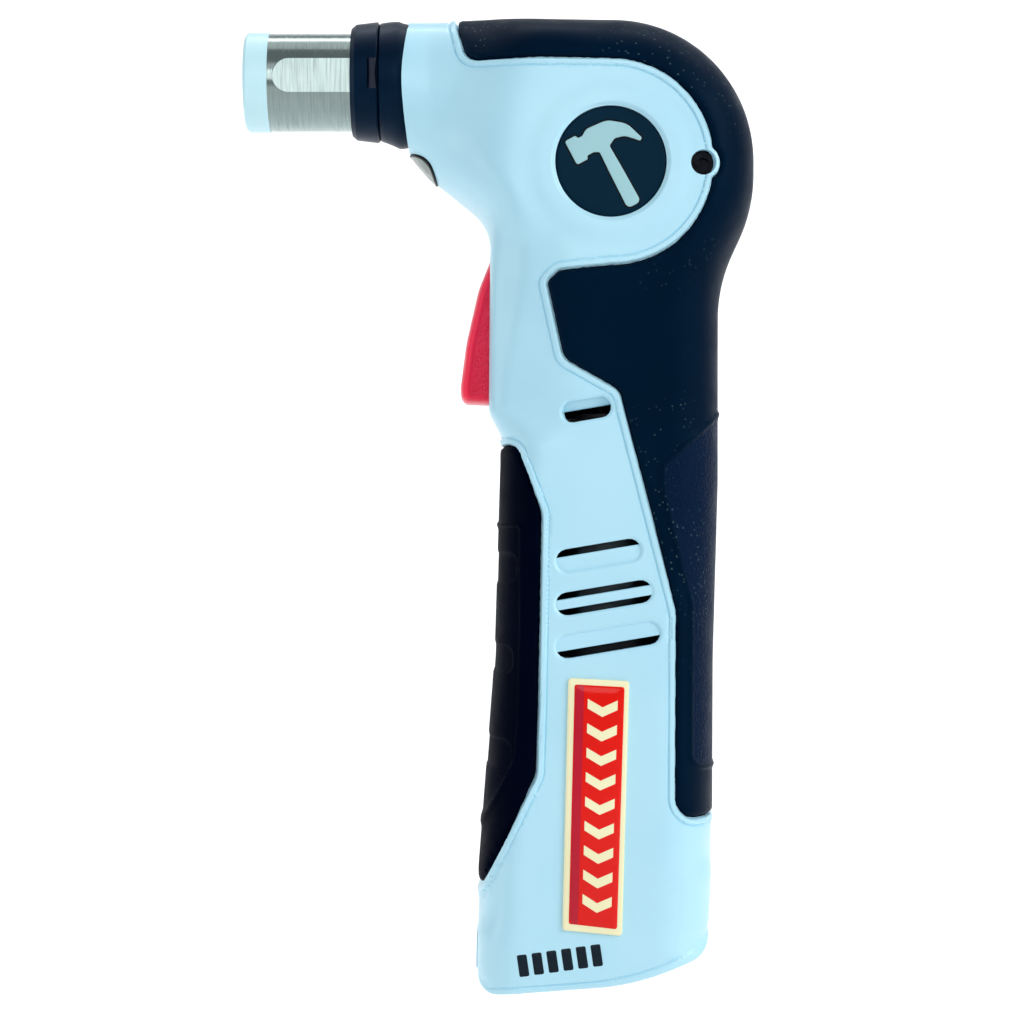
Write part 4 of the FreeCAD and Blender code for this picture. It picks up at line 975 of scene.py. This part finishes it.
# A slanted bar's corners, from the middle of the first one.
SLANTED_BAR = ((-1.75, 2.75), (-0.95, -2.75), (1.55, -2.45), (0.75, 3.05))
LABEL = [(83.5, -158.0, 1.5), (83.5, -216.0, 1.5), (101.5, -216.0, 1.5), (101.5, -158.0, 1.5)]


def badge_line(shares, down, step):
    """A closed line on the badge, from shares of its width and height."""
    a, b, c, d = (np.array(corner[:2]) for corner in INLAY)
    line = []
    for across, share in shares:
        top, low = a + (b - a) * across, d + (c - d) * across
        line.append(top + (low - top) * (down + share))
    return spaced(line[::-1], step, True)


def build_badge():
    piece = plate("badge_border", rounded(BADGE, 0.8),
                  lambda p, d: BADGE_TOP - 0.45 * (1 - crown(d, 0.7, 2.0)), BADGE_BACK, cream_film, -1,
                  (0.1, 0.3, 0.7))
    place(piece, "housing", "badge_cream", "badge_plate")
    inlay_line = rounded(INLAY, 0.8)

    def domed(deep, rise):
        return BADGE_TOP + 0.05 + rise + 0.5 * crown(deep, 4.5, 2.0)

    def painted(rise):
        return lambda p, d: domed(np.maximum(depth(p, inlay_line), 0), rise)

    field = plate("badge_field", inlay_line, lambda p, d: domed(d, 0.0), HANDLE_HALF, red_film, -1,
                  (0.15, 0.5, 1.0, 2.0, 3.0), 1.6)
    place(field, "housing", "badge_red", "badge_inlay")
    paint_back = HANDLE_HALF + 0.4
    stripe = plate("badge_stripe", badge_line(STRIPE, 0.0, 1.0), painted(0.03), paint_back, crimson_film, -1,
                   (0.4,), 1.0)
    place(stripe, "housing", "badge_red")
    marks = [plate("mark", badge_line(CHEVRON, FIRST_CHEVRON + k * CHEVRON_STEP, 0.8), painted(0.05),
                   paint_back, cream_film, -1, (0.3,), 0.9) for k in range(CHEVRONS)]
    place(joined("badge_chevrons", marks), "housing", "badge_cream")


def build_bars():
    """A row of slanted bars low on each side, and a blank label with rules on the right."""

    def over(rise):
        return lambda p, d: surface_at(p) + rise

    for side, word in SIDES:
        bars = []
        for k in range(6):
            x, z = 72.3 + 3.72 * k, -227.2 + 0.52 * k
            line = rounded([(x + dx, z + dz, 0.45) for dx, dz in SLANTED_BAR], 0.5)
            bars.append(plate("bar", line, lambda p, d: surface_at(p) + 0.14 * crown(d, 0.2, 2.0), over(-0.5),
                              dark_film, side, (0.2,), 1.0))
        place(joined(word + "_slanted_bars", bars), "housing", "label_silver")
    label = plate("rating_film", rounded(LABEL), over(0.1), over(-0.5), label_film, 1, (0.3,), 3.0)
    place(label, "housing", "label_silver", "rating_label")
    rules = []
    for k in range(7):
        z = -165.0 - 7.2 * k
        line = spaced([(86.0, z), (86.0, z - 0.8), (99.0, z - 0.8), (99.0, z)], 1.5, True)
        rules.append(plate("rule", line, over(0.14), over(0.0), dark_film, 1, (), 1.5))
    place(joined("rating_rules", rules), "housing", "label_silver")


# ---- work light
LENS_CENTRE = np.array((46.6, -22.8))
LENS_TILT, LENS_R, LENS_RIM, LENS_THICK = math.radians(45.4), 5.3, 0.45, 1.2
LENS_SPREAD = 1.66      # how much wider than long it is, as it wraps round the nose


def below_surface(spots, widths, inwards):
    """How far inwards from points on the underside the surface is as wide as the given widths."""
    low, high = np.full(len(spots), -3.0), np.full(len(spots), 9.0)
    for _ in range(18):     # halves the range each time
        middle = (low + high) / 2
        there = spots + inwards * middle[:, None]
        narrow = np.where(inside(there, silhouette), half_width(there), 0) < widths
        low, high = np.where(narrow, middle, low), np.where(narrow, high, middle)
    return (low + high) / 2


def lens_disc(name, radius, inner, dome, look):
    """An oval disc or ring that follows the nose's underside. dome gives its height over the surface."""
    inwards = np.array((math.cos(LENS_TILT), math.sin(LENS_TILT)))
    along = np.array((-inwards[1], inwards[0]))
    radii, around = np.linspace(inner, radius, 7), 48
    turns = [(r, 2 * math.pi * k / around) for r in radii for k in range(around)]
    spots = np.array([LENS_CENTRE + along * r * math.cos(a) for r, a in turns])
    widths = np.array([r * LENS_SPREAD * math.sin(a) for r, a in turns])
    heights = np.array([dome(r) for r, _ in turns])
    deep = below_surface(spots, np.maximum(np.abs(widths), EDGE_FLAT + 0.01), inwards) - heights
    points = []
    for back in (0.0, LENS_THICK):
        place_2d = spots + inwards * (deep + back)[:, None]
        points += zip(place_2d[:, 0], widths, place_2d[:, 1])
    quads = grid_faces(len(radii), around)
    base = len(radii) * around
    faces = quads + [tuple(base + q for q in reversed(quad)) for quad in quads]
    for start in (0, base - around):
        rim = [start + k for k in range(around)]
        faces += [(k, n, base + n, base + k) for k, n in zip(rim, rim[1:] + rim[:1])]
    return facing_out(mesh_object(name, points, faces, look, 60))


def build_light():
    lens = lens_disc("work_light_lens", LENS_R - LENS_RIM, 0.05,
                     lambda r: 0.1 + 0.3 * (1 - (r / LENS_R) ** 2), lens_glass)
    place(lens, "housing", "lens_clear", "led_lens")
    rim = lens_disc("work_light_rim", LENS_R, LENS_R - LENS_RIM, lambda r: 0.2, outline_paint)
    place(rim, "housing", "black_plastic")


# ---- collar
COLLAR = [      # x, radius
    (34.9, 12.9), (34.9, 14.8), (35.3, 15.3), (36.5, 15.5), (38.5, 15.75), (40.0, 15.95), (41.0, 15.7),
    (44.5, 14.9), (44.5, 13.9), (36.0, 13.4),
]


def build_collar():
    """The rear ring of the collar, whose back edge follows the shell's curved front."""
    around = 120
    points = []
    for k in range(around):
        a = 2 * math.pi * k / around
        for x, r in COLLAR:
            flare = 1.7 * max(0.0, -math.cos(a)) ** 3 * smooth(35.0, 42.5, x)
            flat = 0.03 * max(0.0, math.cos(a)) ** 2 * smooth(38.0, 42.0, x)
            points.append((x, r * math.sin(a), (r * (1 - flat) + flare) * math.cos(a)))
    faces = grid_faces(around, len(COLLAR), closed=True)
    ring = facing_out(mesh_object("collar_rear_ring", points, faces, collar_plastic, 40))
    place(ring, "housing", "collar_rubber", "nose_collar_rear")


# ---- trigger
TRIGGER_FRONT = [
    (65.3, -45.4, 0), (63.9, -46.6, 1.5), (60.6, -54.8, 25), (57.4, -69.0, 45), (55.9, -80.8, 10),
    (56.5, -84.2, 2.0), (65.2, -84.6, 0),
]
TRIGGER_BACK = [(65.2, -84.6), (65.2, -55.3), (69.6, -53.2), (69.6, -46.2)]
TRIGGER_HALF, TRIGGER_EDGE, TRIGGER_R = 8.95, 2.2, 2.3      # half widths of its side and edge, and rounding


def build_trigger():
    front = rounded(TRIGGER_FRONT, 0.6, closed=False)
    line = np.vstack((front, spaced(TRIGGER_BACK, 1.2, False)[1:]))

    def face(p, d):
        edge = distance(p, front, False)
        inset = 0.22 * smooth(2.0, 2.5, edge)
        return TRIGGER_EDGE + (TRIGGER_HALF - TRIGGER_EDGE) * crown(edge, TRIGGER_R, 2.3) - inset

    piece = plate("trigger_lever", line, face, lambda p, d: -face(p, d), red_plastic, -1,
                  (0.03, 0.1, 0.25, 0.5, 0.8, 1.2, 1.6, 1.9, 2.1, 2.3, 2.5, 3.0), 0.9, 50)
    attribute(piece, "grain", lambda spots: smooth(2.3, 2.7, distance(spots, front, False)))
    place(piece, "trigger", "red_trigger", "trigger")


# ---- springs
X_AXIS, Y_AXIS = (1, 0, 0), (0, 1, 0)
WHEEL_SPRING = ((WHEEL_X, -12.3, WHEEL_Z), (WHEEL_X, 0.2, WHEEL_Z))
SPRINGS = [     # name, node, coil and wire radius, ends, fixed end, turns, body, joint, axis, shortest share
    ("sleeve_coil", "sleeve_spring", 9.3, 0.85, ((24.1, 0, 0), (61.0, 0, 0)), 1, 9, "housing",
     "sleeve_slide", X_AXIS, 0.51),
    ("hammer_coil", "hammer_spring", 9.0, 0.8, WHEEL_SPRING, 0, 4, "drive", "wheel_retreat", Y_AXIS, 0.64),
    ("trigger_coil", "trigger_spring", 1.9, 0.3, ((61.4, 0, -61.0), (70.2, 0, -61.0)), 1, 6, "housing",
     "trigger_pull", X_AXIS, 0.79),
    ("front_latch_coil", "latch_spring_front", 1.9, 0.3, ((62.8, 0, -225.9), (71.4, 0, -225.9)), 1, 6,
     "battery", "front_latch_press", X_AXIS, 0.76),
    ("rear_latch_coil", "latch_spring_rear", 1.9, 0.3, ((110.6, 0, -211.0), (117.2, 0, -211.0)), 0, 5,
     "battery", "rear_latch_press", X_AXIS, 0.69),
]


def build_springs():
    """Each spring as a coil on its body, in place of its CAD node."""
    for name, node, mean_r, wire_r, ends, fixed, turns, body, joint, axis, keep in SPRINGS:
        piece = coil(name, mean_r, wire_r, *ends, turns, spring_steel)
        place(piece, body, "spring_steel", node)
        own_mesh(piece)


# ---- carried-over pieces
NODE_LOOKS = [
    (sleeve_steel, "nose_sleeve"), (tip_plastic, "nose_tip"), (collar_plastic, "nose_collar_front"),
    (clip_plastic, "nose_clip"), (bronze, "rod_bush"), (cast_metal, "gear_case_left gear_case_right"),
    (steel, "shaft_bearings pinion_bearing cross_shaft cam_balls thrust_washer striking_rod motor_shaft"),
    (steel, "trigger_pin"), (dark_steel, "bevel_gear bevel_pinion impact_wheel armature"),
    (magnet, "rod_magnet motor_magnets brushes"), (can_steel_painted_shade, "motor_can"), (copper, "armature_coils"),
    (black_plastic, "rod_seal motor_endbell fan switch_body switch_plunger terminal_block battery_case"),
    (brass, "commutator battery_terminals"), (board, "led_board"), (cell_wrap, "battery_cells"),
    (pale, "latch_button_front latch_button_rear"), (screw_steel, "housing_screws"),
]


def dress_nodes():
    for look, nodes in NODE_LOOKS:
        for node in nodes.split():
            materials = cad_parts[node].data.materials
            materials.clear()
            materials.append(look.material)


# ---- light, floor and camera
TOOL = (0.07, 0, -0.1)
LIGHTS = [      # name, place and aim in metres, size in metres, watts
    ("key", (0.98, -0.64, 0.42), TOOL, (0.8, 0.8), 9),
    ("fill", (-0.25, -1.0, 0.5), TOOL, (0.8, 0.5), 0.7),
    ("left", (-1.1, -0.22, 0.02), TOOL, (0.5, 1.0), 3.2),
    ("top", (0.1, 0.15, 1.2), TOOL, (1.2, 1.0), 2.5),
    ("mirror", (-0.04, -1.1, 0.2), (0.03, 0, 0.0), (0.5, 0.45), 1.3),
    ("backdrop", (0.07, 0.35, 0.9), (0.07, 1.6, 0.1), (2.4, 0.6), 26),
]
FLOOR_DROP = 0.09       # the battery is drawn out downwards, so the floor lies under its full travel
PAPER_FRONT, PAPER_BACK, PAPER_HALF, PAPER_BEND, PAPER_TOP = -3.0, 1.2, 3.5, 0.6, 2.4
CAMERA_PLACE, CAMERA_ANGLE = (0.0694, -0.650, -0.1124), math.radians(23.32)


def build_light_sources():
    for name, place_m, aim_m, size, power in LIGHTS:
        data = bpy.data.lights.new(name, "AREA")
        data.shape = "RECTANGLE"
        data.size, data.size_y = size
        data.energy = power
        item = linked(name, data)
        item.location = place_m
        item.rotation_euler = (Vector(aim_m) - Vector(place_m)).to_track_quat("-Z", "Y").to_euler()


def build_stage():
    """A sheet of pale paper that bends up behind the tool."""
    low = cad_box[0][2] - FLOOR_DROP
    profile = [(PAPER_FRONT, 0.0), (PAPER_BACK, 0.0)]
    profile += [(PAPER_BACK + PAPER_BEND * math.sin(a), PAPER_BEND * (1 - math.cos(a)))
                for a in np.linspace(0.1, math.pi / 2, 14)]
    profile.append((PAPER_BACK + PAPER_BEND, PAPER_TOP))
    points = [(x / MM, y / MM, (z + low) / MM) for x in (-PAPER_HALF, PAPER_HALF) for y, z in profile]
    count = len(profile)
    faces = [(i, i + count, i + count + 1, i + 1) for i in range(count - 1)]
    paper = Shader("paper", (0.93, 0.935, 0.94, 1), 0.85)
    paper.bump(paper.noise(900.0, 3.0), 0.1, 0.05)
    floor = mesh_object("studio_floor", points, faces, paper, 180)


def build_camera():
    data = bpy.data.cameras.new("camera")
    data.sensor_width = 36
    data.angle = CAMERA_ANGLE
    data.clip_start, data.clip_end = 0.01, 50
    item = linked("camera", data)
    item.location = CAMERA_PLACE
    item.rotation_euler = (math.pi / 2, 0, 0)
    bpy.context.scene.camera = item


build_sides()
build_foot()
build_vent_bars()
build_emblems()
build_badge()
build_bars()
build_light()
build_collar()
build_trigger()
build_springs()
dress_nodes()
build_stage()
build_camera()
build_light_sources()
world = bpy.data.worlds.new("room")
bpy.context.scene.world = world
world.use_nodes = True
world.node_tree.nodes["Background"].inputs["Color"].default_value = (0.93, 0.97, 1.0, 1)
world.node_tree.nodes["Background"].inputs["Strength"].default_value = 0.3
bpy.context.scene.view_settings.view_transform = "Standard"
